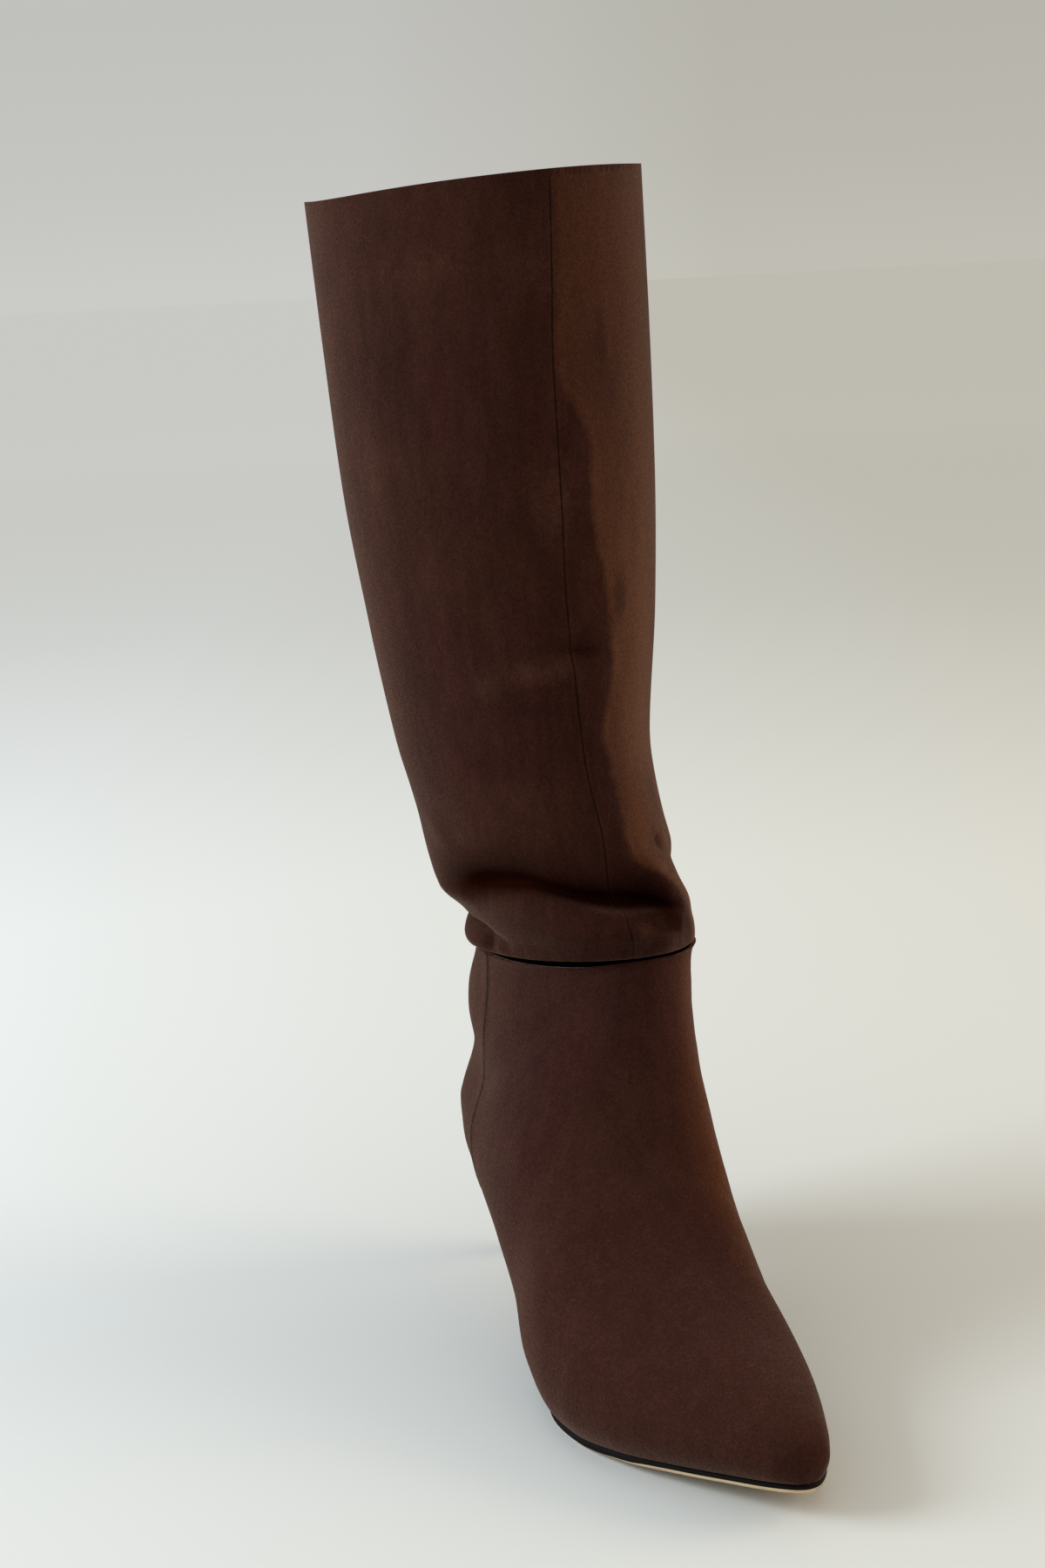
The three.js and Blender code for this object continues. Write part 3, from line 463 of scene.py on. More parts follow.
def shaft_ring(height, low, high):
    """One ring of the shaft's outside, its points' angles, the front seam's angle and the painted shade of
    its folds.
    """
    row = row_at(SHAFT, height, "height")
    middle = ANKLE_MIDDLE + row["sway"] * BALL_WIDTH
    start = GAP * (1 - height)

    def end_point(along, level):
        return np.array([along, middle, (level + start) * (1 - height) + COLLAR_HEIGHT * height])

    foot = end_point(ANKLE_BACK + row["back"] * FOOT_LENGTH, ANKLE_BACK_HEIGHT)
    ridge = end_point(ANKLE_FRONT + row["front"] * FOOT_LENGTH, ANKLE_FRONT_HEIGHT)
    half = ANKLE_HALF * row["width"]
    fullness = ANKLE_FULLNESS + (COLLAR_FULLNESS - ANKLE_FULLNESS) * min(1, height / ROUND_FROM)
    points = bow(foot, ridge, half, half, 0.5, 0.0, fullness, low, high)
    ray = (points - (foot + ridge) / 2) * [1, 1, 0]
    angle = np.degrees(np.arctan2(ray[:, 1], ray[:, 0]))
    out = ray / np.linalg.norm(ray, axis=1)[:, None]

    folds, lift, deep = shaft_folds(height, angle)
    creases = shaft_creases(height, angle)
    crease_shade = np.clip(-creases / CREASE_SHADE_PUSH, 0, CREASE_SHADE_MOST)
    deep = np.clip(deep + crease_shade, 0, 1)
    edge = row_at(SHIN, height, "height")
    shin_off = angle - edge["angle"]
    crest = np.exp(SHIN_ROUNDING - np.sqrt((shin_off / SHIN_WIDTH) ** 2 + SHIN_ROUNDING**2))
    hollow = SHIN_HOLLOW * bell((shin_off - SHIN_HOLLOW_ANGLE) / SHIN_HOLLOW_WIDTH)
    shin = edge["push"] * (crest - hollow)
    rooted = smooth_step(height, 0, ROOT_HEIGHT)
    seam_angle = follow(FRONT_SEAM, "angle", height, "height")
    front = FRONT_RIDGE * bell((angle - seam_angle) / SEAM_WIDTH)
    back = BACK_RIDGE * bell(((angle + 360) % 360 - 180) / SEAM_WIDTH)
    push = rooted * (folds + creases + shin + front + back)
    push -= TUCK * bell(height / TUCK_HEIGHT)
    inner_tuck = bell((angle - INNER_TUCK_ANGLE) / INNER_TUCK_WIDTH) * bell(height / INNER_TUCK_HEIGHT)
    push -= TUCK * inner_tuck
    touching = 1 - bell((angle - OPEN_ANGLE) / OPEN_WIDTH)
    droop = (DROOP + MORE_DROOP * touching) * bell((height - DROOP_LEVEL) / DROOP_REACH)
    points = points + out * (push * BALL_WIDTH)[:, None]
    points[:, 2] += (lift * rooted - droop) * BALL_WIDTH + COLLAR_TILT * height * (points[:, 1] - middle)
    wave = smooth_step(height, WAVE_FROM, 1) * np.cos(np.radians(WAVES * angle + WAVE_TURN))
    points[:, 2] += COLLAR_WAVE * wave
    return points, angle, seam_angle, deep


def inside_of(rings, wall):
    """The rings drawn in by wall along their normals; the first and last keep their own plane."""
    closed = rings[:, :-1]
    around = np.roll(closed, -1, axis=1) - np.roll(closed, 1, axis=1)
    up = np.gradient(closed, axis=0)
    up[0] = up[-1] = (0, 0, 1)
    normal = np.cross(around, up)
    normal /= np.linalg.norm(normal, axis=2)[:, :, None]
    moved = closed - wall * normal
    return np.concatenate([moved, moved[:, :1]], axis=1)


def grid_faces(rows, columns, offset, flip):
    """Vertex numbers of the quads of one grid."""
    first = np.arange(rows - 1)[:, None] * columns + np.arange(columns - 1)[None, :] + offset
    quads = np.stack([first, first + 1, first + columns + 1, first + columns], axis=-1).reshape(-1, 4)
    return quads[:, ::-1] if flip else quads


WELD = 2e-6
SHARP_ANGLE = 50


def build_mesh(name, grids, attributes=None):
    """One smooth mesh from grids of points, each with a flip, welded where they meet."""
    points = []
    faces = []
    attributes = attributes or {}
    values = {key: [] for key in attributes}
    start = 0
    for index, (grid, flip) in enumerate(grids):
        rows, columns = grid.shape[:2]
        points.append((grid + PLACE).reshape(-1, 3))
        faces.append(grid_faces(rows, columns, start, flip))
        for key, fields in attributes.items():
            values[key].append(fields[index].reshape(-1))
        start += rows * columns
    points = np.concatenate(points)
    faces = np.concatenate(faces)
    mesh = bpy.data.meshes.new(name)
    mesh.from_pydata(points.tolist(), [], faces.tolist())
    for key, parts in values.items():
        layer = mesh.attributes.new(key, "FLOAT", "POINT")
        layer.data.foreach_set("value", np.concatenate(parts).astype(np.float32))
    work = bmesh.new()
    work.from_mesh(mesh)
    bmesh.ops.remove_doubles(work, verts=work.verts, dist=WELD)
    bmesh.ops.dissolve_degenerate(work, edges=work.edges, dist=1e-7)
    work.to_mesh(mesh)
    work.free()
    mesh.shade_smooth()
    mesh.set_sharp_from_angle(angle=math.radians(SHARP_ANGLE))
    piece = bpy.data.objects.new(name, mesh)
    bpy.context.collection.objects.link(piece)
    return piece


def crease_push(points):
    """Push of the upper's creases, which are drawn in the side view, in metres."""
    along = points[..., 0] / FOOT_LENGTH
    up = points[..., 2] / FOOT_LENGTH
    push = np.zeros(points.shape[:-1])
    for from_along, from_up, to_along, to_up, side, amount, width in zip(*UPPER_CREASES.values()):
        gap, fade = near_line(along, up, (from_along, from_up), (to_along, to_up), UPPER_CREASE_ENDS)
        on_side = 1.0 if side == 0 else smooth_step(side * points[..., 1] / BALL_WIDTH, 0.0, 0.2)
        push += amount * BALL_WIDTH * fade * on_side * bell(gap / width)
    return push


def seam_distance(points):
    """Distance in the side view from the side seam, in millimetres, signed to the front."""
    rising = {name: values[::-1] for name, values in SIDE_SEAM.items()}
    line = follow(rising, "along", points[..., 2] / FOOT_LENGTH, "up")
    return (points[..., 0] - line * FOOT_LENGTH) / MM


def grid_normals(grid, closed_from):
    """Outward unit normals of a grid of points whose rows are closed rings from one row on."""
    rows = np.gradient(grid, axis=0)
    columns = np.gradient(grid, axis=1)
    wrap = grid[closed_from:, 1] - grid[closed_from:, -2]
    columns[closed_from:, 0] = wrap
    columns[closed_from:, -1] = wrap
    normal = np.cross(columns, rows)
    length = np.linalg.norm(normal, axis=2)
    normal /= np.maximum(length, 1e-12)[:, :, None]
    return normal


def first_only(grids, **fields):
    """Fields of a skin, each given as values for its first grid and one value for the others."""
    return {
        name: [first] + [np.full(grid.shape[:2], rest) for grid, _ in grids[1:]]
        for name, (first, rest) in fields.items()
    }


def upper_rows(inset):
    count = (len(UPPER["foot"]) - 1) * UPPER_STEPS
    return np.array([upper_bow(k / UPPER_STEPS, inset) for k in range(count + 1)])


UPPER_SKIN = 1.2 * MM
RIM_HEIGHT = 8 * MM
# The quarter laps over the vamp at the side seam and falls off behind it
LAP, LAP_EDGE, LAP_LENGTH = 0.4 * MM, 0.25, 7
# Rows of UPPER over which the creases and the band of painted warm light begin behind the toe
CREASES_BEGIN = (2.5, 5)
WARM_BEGINS = (4, 10)
# The band of painted warm light on the inner side, across the bows from -1 outer to 1 inner
WARM_MIDDLE, WARM_WIDTH = 0.31, 0.2
# Shade under the roll, and over how many of the last rows of UPPER it comes in
SHADE_UNDER_ROLL, SHADE_ROWS = 0.8, 0.4
# How much wider the side seam's line is than the shaft's, and the distance given where no seam is near
SIDE_SEAM_SCALE, NO_SEAM = 3, 99.0


def make_upper():
    """The suede skin of the upper: its outside with creases, closed by its own inside."""
    outside = upper_rows(0)
    corner = HEEL_CORNER * UPPER_STEPS
    outside[0] = outside[0, 0]
    seam = seam_distance(outside)
    places = np.arange(len(outside))[:, None] / UPPER_STEPS
    rim = smooth_step(outside[..., 2] - feather_height(outside[..., 0] / FOOT_LENGTH), 0, RIM_HEIGHT)
    push = crease_push(outside) * smooth_step(places, *CREASES_BEGIN) * rim
    lap = smooth_step(-seam, -LAP_EDGE, LAP_EDGE) * bell(np.minimum(seam, 0) / LAP_LENGTH)
    push += LAP * lap * rim
    outside = outside + grid_normals(outside, corner) * push[:, :, None]
    inside = upper_rows(UPPER_SKIN)
    puff_end = 1 - TOE_PUFF / FOOT_LENGTH
    tip = np.array([puff_end * FOOT_LENGTH, middle_of(puff_end), feather_height(puff_end)])
    feet = follow(UPPER, "foot", np.arange(len(inside)) / UPPER_STEPS)
    inside[feet >= puff_end] = tip
    outer_edge = np.stack([outside[: corner + 1, 0], inside[: corner + 1, 0]])
    inner_edge = np.stack([outside[: corner + 1, -1], inside[: corner + 1, -1]])
    top_edge = np.stack([outside[-1], inside[-1]])
    grids = [(outside, False), (inside, True), (outer_edge, False), (inner_edge, True), (top_edge, False)]
    across = np.linspace(-1, 1, outside.shape[1])[None, :]
    warm = bell((across - WARM_MIDDLE) / WARM_WIDTH) * smooth_step(places, *WARM_BEGINS)
    last = len(UPPER["foot"]) - 1
    deep = SHADE_UNDER_ROLL * smooth_step(places, last - SHADE_ROWS, last) * np.ones_like(seam)
    fields = first_only(grids, seam=(seam / SIDE_SEAM_SCALE, NO_SEAM), warm=(warm, 0.0), deep=(deep, 0.0))
    return build_mesh("upper_suede", grids, fields)


SHAFT_SKIN = 1.0 * MM
SHAFT_STEPS, LINING_STEPS = 190, 110
SHAFT_LOW = quarter_turns(58, 0.42)
SHAFT_HIGH = math.pi / 2 - SHAFT_LOW[::-1]
# The band of painted highlight loses a share of its tone over these heights, and all of it over these angles
STRIP_FADES_UP, STRIP_LOSS = (0.42, 0.85), 0.62
STRIP_FADES_AROUND = (30, 80)
NO_STRIP = -99.0


def shaft_heights(count):
    """Heights closer together in the slouch."""
    t = np.linspace(0, 1, count + 1)
    return t * (0.32 + 0.68 * t**1.6)


def tube_grids(outside, inside):
    """Both sides of a tube and the edges that close it at either end."""
    foot = np.stack([inside[0], outside[0]])
    top = np.stack([outside[-1], inside[-1]])
    return [(outside, False), (inside, True), (foot, False), (top, False)]


def make_shaft():
    """The suede skin of the shaft, slouching over the ankle, closed by its own inside."""
    heights = shaft_heights(SHAFT_STEPS)
    rings = zip(*(shaft_ring(height, SHAFT_LOW, SHAFT_HIGH) for height in heights))
    outside, angles, seams, deep = (np.array(part) for part in rings)
    outside[:, -1] = outside[:, 0]
    inside = inside_of(outside, SHAFT_SKIN)
    middle = outside.mean(axis=1, keepdims=True)
    radius = np.hypot(outside[..., 0] - middle[..., 0], outside[..., 1] - middle[..., 1]) / MM
    from_front = np.radians(angles - seams[:, None]) * radius
    from_back = np.radians(180 - np.abs(angles)) * radius
    seam = np.where(np.abs(angles) < 90, from_front, from_back)
    edge = follow(STRIP_EDGE, "angle", heights, "height")[:, None]
    strip = np.radians(angles - edge) * radius
    faded_up = (1 - STRIP_LOSS * smooth_step(heights, *STRIP_FADES_UP))[:, None]
    strip_tone = faded_up * (1 - smooth_step(angles, *STRIP_FADES_AROUND))
    nap = np.zeros_like(angles)
    for angle, height, wide, tall, tone in zip(*NAP_AND_SHEEN.values()):
        nap += tone * bell((angles - angle) / wide) * bell((heights[:, None] - height) / tall)
    grids = tube_grids(outside, inside)
    fields = first_only(
        grids, seam=(seam, NO_SEAM), strip=(strip, NO_STRIP), strip_tone=(strip_tone, 0.0),
        nap=(nap, 0.0), deep=(deep, 0.0),
    )
    return build_mesh("shaft_suede", grids, fields)


def make_shaft_lining():
    """Lining of the shaft, a thin tube just inside the suede and a little below the collar's edge."""
    behind_suede = SHAFT_SKIN + 0.05 * MM
    cloth = 0.5 * MM
    below_edge = 0.4 * MM
    low = quarter_turns(26, 0.7)
    high = math.pi / 2 - low[::-1]
    rings = np.array([shaft_ring(height, low, high)[0] for height in shaft_heights(LINING_STEPS)])
    rings[:, -1] = rings[:, 0]
    outside = inside_of(rings, behind_suede)
    inside = inside_of(rings, behind_suede + cloth)
    for side in (outside, inside):
        side[-1, :, 2] -= below_edge
    return build_mesh("shaft_lining", tube_grids(outside, inside))


def sole_stations(start, end, inset, count):
    """Outline of a plate, with its places closer together at both ends."""
    share = np.linspace(0, 1, count + 1)
    eased = share - np.sin(2 * math.pi * share) / (2 * math.pi) * 0.9
    return inset_outline(start + (end - start) * eased, inset)


# Turn of a plate's rounded edge below which it is bare, and the stretch over which that rises to its middle
BARE_TURN, BARE_RISES = 0.75, (0.74, 0.86)
RIM_PER_TURN = 6
EDGE_STEPS, FACE_COLUMNS = 8, 13


def make_plate(name, start, end, inset, bottom, thickness, edge, count=150):
    """A plate along the sole with its edges rounded by edge. Its rim field is 0 on the painted part of the
    edge, less on the bare part, and on the faces the distance from the rim in millimetres."""
    rings = []
    rims = []
    sections = []
    for turn in np.linspace(-math.pi / 2, math.pi / 2, EDGE_STEPS + 1):
        draw_in = inset + edge * (1 - math.cos(turn))
        rise = bottom + thickness / 2 + (thickness / 2) * math.sin(turn)
        x, middle, half = sole_stations(start, end, draw_in, count)
        z = feather_height(x / FOOT_LENGTH) + rise
        outer = np.stack([x, middle - half, z], axis=1)
        inner = np.stack([x, middle + half, z], axis=1)
        ring = np.concatenate([outer, inner[::-1], outer[:1]])
        bare = BARE_TURN - BARE_TURN * smooth_step(ring[:, 0] / FOOT_LENGTH, *BARE_RISES)
        rings.append(ring)
        rims.append(np.minimum(0, RIM_PER_TURN * (turn + bare)))
        sections.append((x, middle, half, z))
    grids = [(np.array(rings), False)]
    fields = [np.array(rims)]
    across = np.linspace(-1, 1, FACE_COLUMNS)
    for (x, middle, half, z), flip in ((sections[0], False), (sections[-1], True)):
        columns = (x[:, None], middle[:, None] + half[:, None] * across, z[:, None])
        grids.append((np.stack(np.broadcast_arrays(*columns), axis=2), flip))
        fields.append(half[:, None] * (1 - np.abs(across)) / MM)
    return build_mesh(name, grids, {"rim": fields})


HEEL = table(
    "drop back breast width",
    (0, 0, 1, 1), (0.07, 0.035, 0.955, 0.9), (0.16, 0.08, 0.89, 0.76), (0.27, 0.135, 0.82, 0.6),
    (0.4, 0.195, 0.75, 0.44), (0.55, 0.25, 0.68, 0.31), (0.72, 0.3, 0.63, 0.225),
    (0.87, 0.33, 0.6, 0.185), (1, 0.345, 0.59, 0.175),
)
BREAST_HOLLOW = 0.12
# How fast the hollow deepens below the seat, and how fast the seat's slope fades out
HOLLOW_DEEPENS, SLOPE_FADES = 7, 2.2
HEEL_ROUND, HEEL_ACROSS = 44, 14


def heel_ring(drop):
    """One ring of the heel: its back follows the sole's outline, its breast is a hollow curve."""
    row = row_at(HEEL, drop, "drop")
    seat = HEEL_SEAT / FOOT_LENGTH
    back = row["back"] * HEEL_SEAT
    breast = row["breast"] * HEEL_SEAT
    half = half_of(seat) * row["width"]
    share = np.linspace(0, 1, HEEL_ROUND + 1) ** 2
    wide = half * half_of(share * seat) / half_of(seat)
    x = back + (breast - back) * share
    side = np.linspace(-1, 1, HEEL_ACROSS + 1)[1:-1]
    hollow = BREAST_HOLLOW * 2 * half * min(1, drop * HOLLOW_DEEPENS) * (1 - drop)
    around_x = np.concatenate([x, breast - hollow * (1 - side**2), x[::-1][:-1]])
    around_y = np.concatenate([-wide, side * half, wide[::-1][:-1]])
    level = HEEL_HEIGHT * (1 - drop) + TOP_PIECE * drop
    slope = feather_height(around_x / FOOT_LENGTH) - feather_height(0)
    z = level - (0 if drop else GAP) + slope * (1 - drop) ** SLOPE_FADES
    ring = np.stack([around_x, around_y, z], axis=1)
    return np.concatenate([ring, ring[:1]])


def make_stack(name, rings):
    """A closed stack of rings, lowest last, with a cap at either end."""
    rings = np.array(rings)
    caps = []
    for ring, flip in ((rings[0], False), (rings[-1], True)):
        middle = ring[:-1].mean(axis=0)
        cap = np.stack([np.repeat(middle[None], len(ring), axis=0), middle + (ring - middle) * 0.5, ring])
        caps.append((cap, flip))
    return build_mesh(name, [(rings, True)] + caps)


def make_heel():
    drops = np.linspace(0, 1, 61) ** 1.15
    return make_stack("heel_cover", [heel_ring(drop) for drop in drops])


# Profile of the top piece from its top down: height in millimetres and scale of the heel's tip
TIP_PROFILE = ((4.7, 0.97), (4.5, 1.0), (0.9, 1.0), (0.35, 0.985), (0.08, 0.95), (0, 0.91))


def make_top_piece():
    """Rubber top piece with a slightly rounded foot."""
    tip = heel_ring(1)
    middle = tip[:-1].mean(axis=0)
    rings = []
    for height, scale in TIP_PROFILE:
        ring = middle + (tip - middle) * scale
        ring[:, 2] = height * MM
        rings.append(ring)
    return make_stack("heel_tip_rubber", rings)


# Materials. A function that adds a node gives its output as a pair of node and socket.

def new_material(name):
    material = bpy.data.materials.new(name)
    material.use_nodes = True
    tree = material.node_tree
    tree.nodes.clear()
    output = tree.nodes.new("ShaderNodeOutputMaterial")
    shader = tree.nodes.new("ShaderNodeBsdfPrincipled")
    tree.links.new(shader.outputs["BSDF"], output.inputs["Surface"])
    return material, tree, shader


def plug(tree, node, socket, value):
    """Links a socket from an output, or sets it to a number or colour."""
    if isinstance(value, tuple) and isinstance(value[0], bpy.types.Node):
        tree.links.new(value[0].outputs[value[1]], node.inputs[socket])
    else:
        node.inputs[socket].default_value = value


def add(tree, kind, sockets=None, **settings):
    """A shader node with its settings made and its sockets plugged."""
    node = tree.nodes.new("ShaderNode" + kind)
    for key, value in settings.items():
        setattr(node, key, value)
    for socket, value in (sockets or {}).items():
        plug(tree, node, socket, value)
    return node


def object_place(tree):
    return (add(tree, "TexCoord"), "Object")


def stretched_place(tree, place, scale):
    return (add(tree, "Mapping", {"Vector": place, "Scale": scale}), "Vector")


def noise(tree, vector, scale, detail, rough=0.5):
    sockets = {"Vector": vector, "Scale": scale, "Detail": detail, "Roughness": rough}
    return (add(tree, "TexNoise", sockets), "Fac")


def attribute(tree, name):
    return (add(tree, "Attribute", attribute_name=name), "Fac")


def ramp(tree, source, stops):
    """A grey that follows (position, value) stops."""
    node = add(tree, "ValToRGB", {"Fac": source})
    elements = node.color_ramp.elements
    elements.remove(elements[-1])
    elements[0].position = stops[0][0]
    for position, _ in stops[1:]:
        elements.new(position)
    for element, (_, value) in zip(elements, stops):
        element.color = (value, value, value, 1)
    return (node, "Color")


def maths(tree, operation, *values, clamp=False):
    sockets = dict(enumerate(values))
    return (add(tree, "Math", sockets, operation=operation, use_clamp=clamp), 0)


def mix_colour(tree, factor, first, second, blend="MIX"):
    sockets = {0: factor, 6: first, 7: second}
    return (add(tree, "Mix", sockets, data_type="RGBA", blend_type=blend), 2)


def finish_shader(tree, shader, tone, height, strength, depth, roughness, gloss):
    bump = add(tree, "Bump", {"Height": height, "Strength": strength, "Distance": depth})
    plug(tree, shader, "Base Color", tone)
    plug(tree, shader, "Normal", (bump, "Normal"))
    plug(tree, shader, "Roughness", roughness)
    plug(tree, shader, "Specular IOR Level", gloss)


def colour(red, green, blue):
    """Linear colour from 0 to 255 display values."""
    def linear(value):
        value /= 255
        return value / 12.92 if value <= 0.04045 else ((value + 0.055) / 1.055) ** 2.4
    return (linear(red), linear(green), linear(blue), 1)


SUEDE_DARK = colour(34, 13, 10)
SUEDE_BASE = colour(46, 20, 16)
SUEDE_LIGHT = colour(66, 37, 31)
SUEDE_OLIVE = colour(50, 26, 15)
SUEDE_PAINTED_HIGHLIGHT = colour(82, 49, 32)
SUEDE_WORN_AND_SHEEN = colour(92, 60, 46)
SUEDE_MAUVE = colour(66, 42, 37)
SUEDE_PAINTED_WARM_LIGHT = colour(76, 38, 15)
SUEDE_PAINTED_SHADE = colour(22, 4, 1)
SUEDE_SHEEN = colour(240, 200, 178)
SEAM_GROOVE_SHADE = colour(18, 6, 4)


def suede_material(name, seam=True, upper=False):
    """Brushed suede: pile patches and streaks, fine fibre, a soft sheen, painted shade in folds, painted
    highlight, sheen and warm light, and a sewn seam line of painted shade.
    """
    material, tree, shader = new_material(name)

    def times(first, second, clamp=False):
        return maths(tree, "MULTIPLY", first, second, clamp=clamp)

    def plus(first, second, clamp=False):
        return maths(tree, "ADD", first, second, clamp=clamp)

    place = object_place(tree)
    stretched = stretched_place(tree, place, (1.0, 1.0, 0.3))
    patches = noise(tree, stretched, 30, 6, 0.6)
    clouds = noise(tree, place, 12, 3, 0.5)
    streaks = noise(tree, stretched, 140, 5, 0.65)
    rag = noise(tree, place, 210, 5, 0.7)
    grain = noise(tree, place, 620, 3, 0.7)
    fibre = noise(tree, place, 1700, 2, 0.6)

    patch = ramp(tree, patches, [(0.36, 0.1), (0.48, 0.45), (0.54, 0.75), (0.68, 1.0)])
    cloud = ramp(tree, clouds, [(0.36, 0.0), (0.64, 1.0)])
    streak = ramp(tree, streaks, [(0.42, 0.0), (0.64, 1.0)])
    base = mix_colour(tree, patch, SUEDE_DARK, SUEDE_BASE)
    base = mix_colour(tree, times(cloud, 0.55), base, SUEDE_OLIVE)
    base = mix_colour(tree, times(streak, 0.24), base, SUEDE_LIGHT)

    # The band of painted highlight down the shin, with a ragged edge
    ragged = maths(tree, "SUBTRACT", rag, 0.5)
    strip = times(plus(attribute(tree, "strip"), times(ragged, 7.0)), 0.3, clamp=True)
    strip = times(strip, maths(tree, "MULTIPLY_ADD", patch, 0.5, 0.45))
    strip = times(strip, attribute(tree, "strip_tone"))
    base = mix_colour(tree, strip, base, SUEDE_PAINTED_HIGHLIGHT)

    # Patches of pile brushed up or flattened, and painted sheen on the outer side
    nap = attribute(tree, "nap")
    ragged_nap_and_sheen = plus(nap, times(ragged, 2.2))
    for way, most, tint in ((1.6, 0.36, SUEDE_WORN_AND_SHEEN), (-1.6, -0.6, SUEDE_DARK)):
        share = times(times(ragged_nap_and_sheen, way, clamp=True), times(nap, most, clamp=True))
        base = mix_colour(tree, share, base, tint)

    # On the upper: a mauve cast, and a band of painted warm light on the inner side
    if upper:
        base = mix_colour(tree, 0.16, base, SUEDE_MAUVE)
        warm = attribute(tree, "warm")
        share = times(plus(warm, times(ragged, 1.2), clamp=True), times(warm, 0.8, clamp=True))
        base = mix_colour(tree, share, base, SUEDE_PAINTED_WARM_LIGHT)

    # Painted shade in folds and under the roll, then speckled by grain and fibre
    deep = attribute(tree, "deep")
    base = mix_colour(tree, times(deep, 0.86, clamp=True), base, SUEDE_PAINTED_SHADE)
    for detail, low, high in ((grain, 0.81, 1.15), (fibre, 0.72, 1.26)):
        speck = ramp(tree, detail, [(0.3, low), (0.5, 0.98), (0.7, high)])
        base = mix_colour(tree, 1.0, base, speck, "MULTIPLY")
    height = plus(times(fibre, 0.45), times(grain, 0.45))

    # The seam line is painted shade in its groove, with a faint lighter shoulder beside it of worn pile and
    # painted sheen
    if seam:
        away = maths(tree, "ABSOLUTE", attribute(tree, "seam"))
        away = times(plus(away, times(ragged, 0.6)), 0.1)
        shoulder = ramp(tree, away, [(0.03, 0.0), (0.06, 1.0), (0.1, 0.6), (0.2, 0.0)])
        base = mix_colour(tree, times(shoulder, 0.04), base, SUEDE_WORN_AND_SHEEN)
        line = times(ramp(tree, away, [(0.0, 1.0), (0.02, 0.85), (0.045, 0.0)]), 0.85)
        base = mix_colour(tree, line, base, SEAM_GROOVE_SHADE)
        height = plus(height, times(line, -0.5))

    # Sheen and gloss fade out where the painted shade lies
    out_of_painted_shade = maths(tree, "SUBTRACT", 1.0, deep, clamp=True)
    sheen = ramp(tree, fibre, [(0.35, 0.1), (0.55, 0.18), (0.7, 0.36)])
    plug(tree, shader, "Sheen Weight", times(sheen, out_of_painted_shade))
    plug(tree, shader, "Sheen Roughness", 0.4)
    plug(tree, shader, "Sheen Tint", SUEDE_SHEEN)
    finish_shader(tree, shader, base, height, 0.6, 0.5 * MM, 0.97, times(out_of_painted_shade, 0.04))
    return material


def lining_material():
    """Dark woven lining."""
    material, tree, shader = new_material("lining")
    place = object_place(tree)
    weave = {"Vector": place, "Scale": 420, "Distortion": 0.4}
    warp = (add(tree, "TexWave", weave, bands_direction="Z"), "Fac")
    tone = mix_colour(tree, noise(tree, place, 35, 4), colour(20, 15, 14), colour(48, 38, 34))
    finish_shader(tree, shader, tone, warp, 0.3, 0.2 * MM, 0.9, 0.2)
    return material


def sole_material():
    """Tan sole board with a dark painted edge and faint darker scuffs."""
    material, tree, shader = new_material("sole_board")
    place = object_place(tree)
    grain = noise(tree, stretched_place(tree, place, (0.2, 1, 1)), 260, 5)
    board = mix_colour(tree, grain, colour(182, 156, 122), colour(216, 193, 160))
    scuffs = noise(tree, place, 60, 7, 0.7)
    worn = ramp(tree, scuffs, [(0.52, 0.0), (0.68, 0.6)])
    board = mix_colour(tree, worn, board, colour(120, 100, 80))
    from_rim = maths(tree, "MULTIPLY_ADD", attribute(tree, "rim"), 0.1, 0.5)
    paint = ramp(tree, from_rim, [(0.42, 0.0), (0.48, 1.0), (0.51, 1.0), (0.53, 0.0)])
    board = mix_colour(tree, paint, board, colour(9, 6, 7))
    finish_shader(tree, shader, board, maths(tree, "ADD", grain, scuffs), 0.25, 0.2 * MM, 0.7, 0.1)
    return material


def rubber_material():
    """Dark grey rubber of the heel's top piece."""
    material, tree, shader = new_material("top_piece_rubber")
    dust = noise(tree, object_place(tree), 900, 4)
    tone = mix_colour(tree, dust, colour(30, 30, 31), colour(62, 60, 58))
    finish_shader(tree, shader, tone, dust, 0.3, 0.2 * MM, 0.68, 0.5)
    return material


TOWARDS_WARM_SIDE = (0.31, 0.95, 0)


def side_tint(tree, place, slope, middle, cool, warm):
    """A tint that turns from cool on the outer side of the studio to warm on the inner side."""
    sockets = {0: place, 1: TOWARDS_WARM_SIDE}
    side = (add(tree, "VectorMath", sockets, operation="DOT_PRODUCT"), "Value")
    across = maths(tree, "MULTIPLY_ADD", side, slope, middle, clamp=True)
    return mix_colour(tree, across, cool, warm)


def floor_material():
    """Pale studio floor with painted light in its tone: darkest close to the boot, brighter far off, cool on
    the outer side and warm on the inner side.
    """
    material, tree, shader = new_material("studio_floor")
    place = object_place(tree)
    distance = (add(tree, "VectorMath", {0: place}, operation="LENGTH"), "Value")
    # Painted shade near the boot and painted light far off, then a painted cool and warm tint from the side
    # lamps
    tone = ramp(tree, maths(tree, "MULTIPLY", distance, 0.1), [
        (0.0, 0.63), (0.03, 0.66), (0.07, 0.69), (0.12, 0.67),
        (0.195, 0.675), (0.295, 0.725), (0.5, 0.785), (1.0, 0.785),
    ])
    tint = side_tint(tree, place, 1.1, 0.45, (0.975, 0.995, 1.02, 1), (0.855, 0.84, 0.785, 1))
    plug(tree, shader, "Base Color", mix_colour(tree, 1.0, tone, tint, "MULTIPLY"))
    plug(tree, shader, "Roughness", 0.85)
    plug(tree, shader, "Specular IOR Level", 0.1)
    return material


def finish_piece(piece, material, node):
    piece.data.materials.append(material)
    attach(piece, "root")
    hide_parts(node)


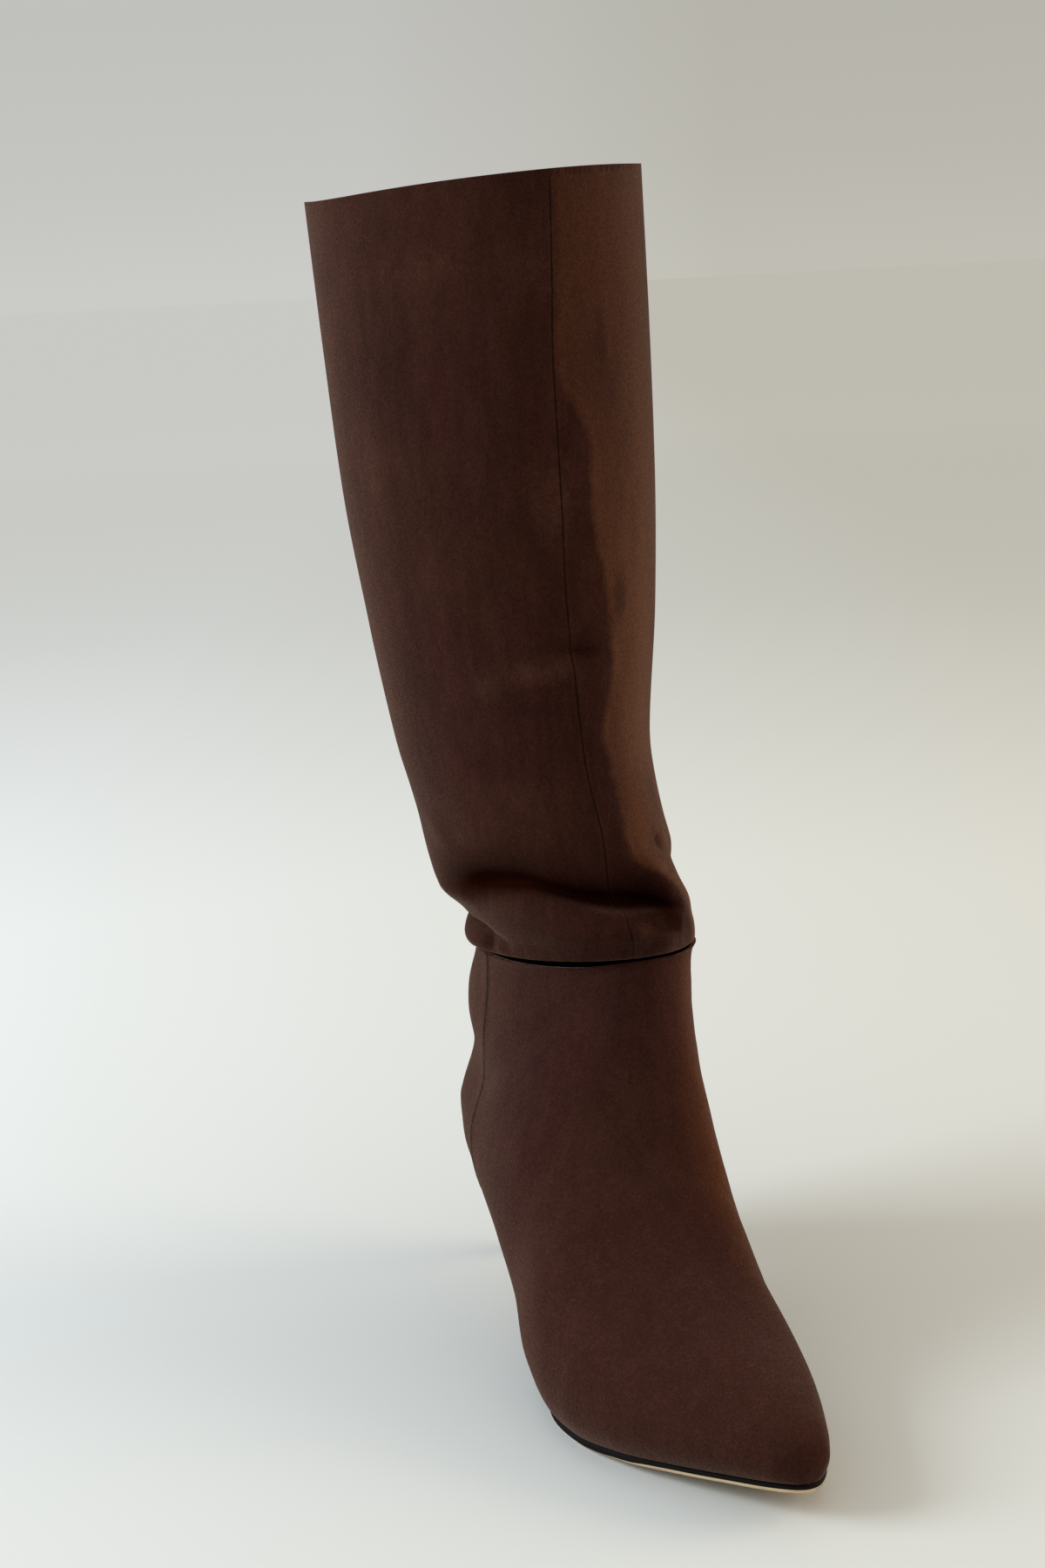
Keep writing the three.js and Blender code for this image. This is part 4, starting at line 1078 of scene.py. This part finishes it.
SOLE_ROUNDING = 0.9 * MM
SOCK_ROUNDING = 0.5 * MM
SOCK_EASE = 0.6 * MM
SOCK_COUNT = 90

lining = lining_material()
finish_piece(make_upper(), suede_material("foot_suede", upper=True), "upper")
finish_piece(make_shaft(), suede_material("suede"), "shaft")
finish_piece(make_heel(), suede_material("suede_heel", seam=False), "heel")
finish_piece(make_top_piece(), rubber_material(), "heel_top_piece")

sole_start = (HEEL_SEAT + GAP) / FOOT_LENGTH
sole = make_plate("sole_board", sole_start, 1, 0, -GAP - OUTSOLE, OUTSOLE, SOLE_ROUNDING)
finish_piece(sole, sole_material(), "outsole")

inset = UPPER_WALL + SOCK_EASE
sock_start = inset / FOOT_LENGTH
sock_end = 1 - (TOE_PUFF + inset) / FOOT_LENGTH
sock = make_plate("sock_lining", sock_start, sock_end, inset, 0, INSOLE, SOCK_ROUNDING, SOCK_COUNT)
finish_piece(sock, lining, "insole")

shaft_lining = make_shaft_lining()
shaft_lining.data.materials.append(lining)
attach(shaft_lining, "root")


# Floor, camera and light

def make_floor():
    size = 60.0
    mesh = bpy.data.meshes.new("floor")
    corners = [(-size, -size, 0), (size, -size, 0), (size, size, 0), (-size, size, 0)]
    mesh.from_pydata(corners, [], [(0, 1, 2, 3)])
    floor = bpy.data.objects.new("floor", mesh)
    bpy.context.collection.objects.link(floor)
    mesh.materials.append(floor_material())


def make_camera():
    """The photograph's view: from the toe, a little to the outer side, about collar high."""
    around = math.radians(17.8)
    aim_along = 0.065
    distance = 0.863
    height = 0.385
    pitch = math.radians(12.05)
    yaw = math.radians(-0.93)
    roll = math.radians(-3.0)
    focal_pixels = 2750
    picture_height = 1800
    sensor = 36
    target = PLACE + [aim_along, 0, 0]

    def swung(first, second, angle):
        """Two directions at right angles, both swung from the first towards the second."""
        along = first * math.cos(angle) + second * math.sin(angle)
        return along, second * math.cos(angle) - first * math.sin(angle)

    spot = Vector(target + distance * np.array([math.cos(around), -math.sin(around), 0]))
    spot.z = height
    ahead = Vector((-math.cos(around), math.sin(around), 0))
    right = Vector((math.sin(around), math.cos(around), 0))
    ahead, right = swung(ahead, right, yaw)
    ahead, down = swung(ahead, Vector((0, 0, -1)), pitch)
    right, up = swung(right, -down, roll)
    data = bpy.data.cameras.new("camera")
    data.sensor_width = sensor
    data.lens = focal_pixels / picture_height * sensor
    camera = bpy.data.objects.new("camera", data)
    bpy.context.collection.objects.link(camera)
    turn = Matrix((right, up, -ahead)).transposed().to_4x4()
    camera.matrix_world = Matrix.Translation(spot) @ turn
    bpy.context.scene.camera = camera


def make_light(name, spot, size, power, tint):
    data = bpy.data.lights.new(name, "AREA")
    data.size = size
    data.energy = power
    data.color = tint
    light = bpy.data.objects.new(name, data)
    bpy.context.collection.objects.link(light)
    light.location = spot
    aim = Vector((0, 0, 0.2)) - Vector(spot)
    light.rotation_euler = aim.to_track_quat("-Z", "Y").to_euler()


def make_world():
    """Plain pale surroundings, brighter overhead and a little darker and warmer to the inner side."""
    world = bpy.data.worlds.new("studio")
    world.use_nodes = True
    tree = world.node_tree
    background = tree.nodes["Background"]
    place = (add(tree, "TexCoord"), "Generated")
    height = (add(tree, "SeparateXYZ", {0: place}), "Z")
    tone = ramp(tree, height, [(0.0, 0.6), (0.04, 0.56), (0.105, 0.53), (0.35, 0.62), (1.0, 1.0)])
    tint = side_tint(tree, place, 7.0, 0.5, (1, 0.995, 0.955, 1), (0.88, 0.86, 0.76, 1))
    plug(tree, background, "Color", mix_colour(tree, 1.0, tone, tint, "MULTIPLY"))
    plug(tree, background, "Strength", 1.0)
    bpy.context.scene.world = world


make_floor()
make_camera()
make_world()
make_light("cool_side", (-0.4, -1.85, 1.2), 1.1, 44, (0.82, 0.93, 1.0))
make_light("warm_side", (0.5, 1.8, 1.0), 1.1, 18, (1.0, 0.84, 0.64))
bpy.context.scene.view_settings.view_transform = "Standard"
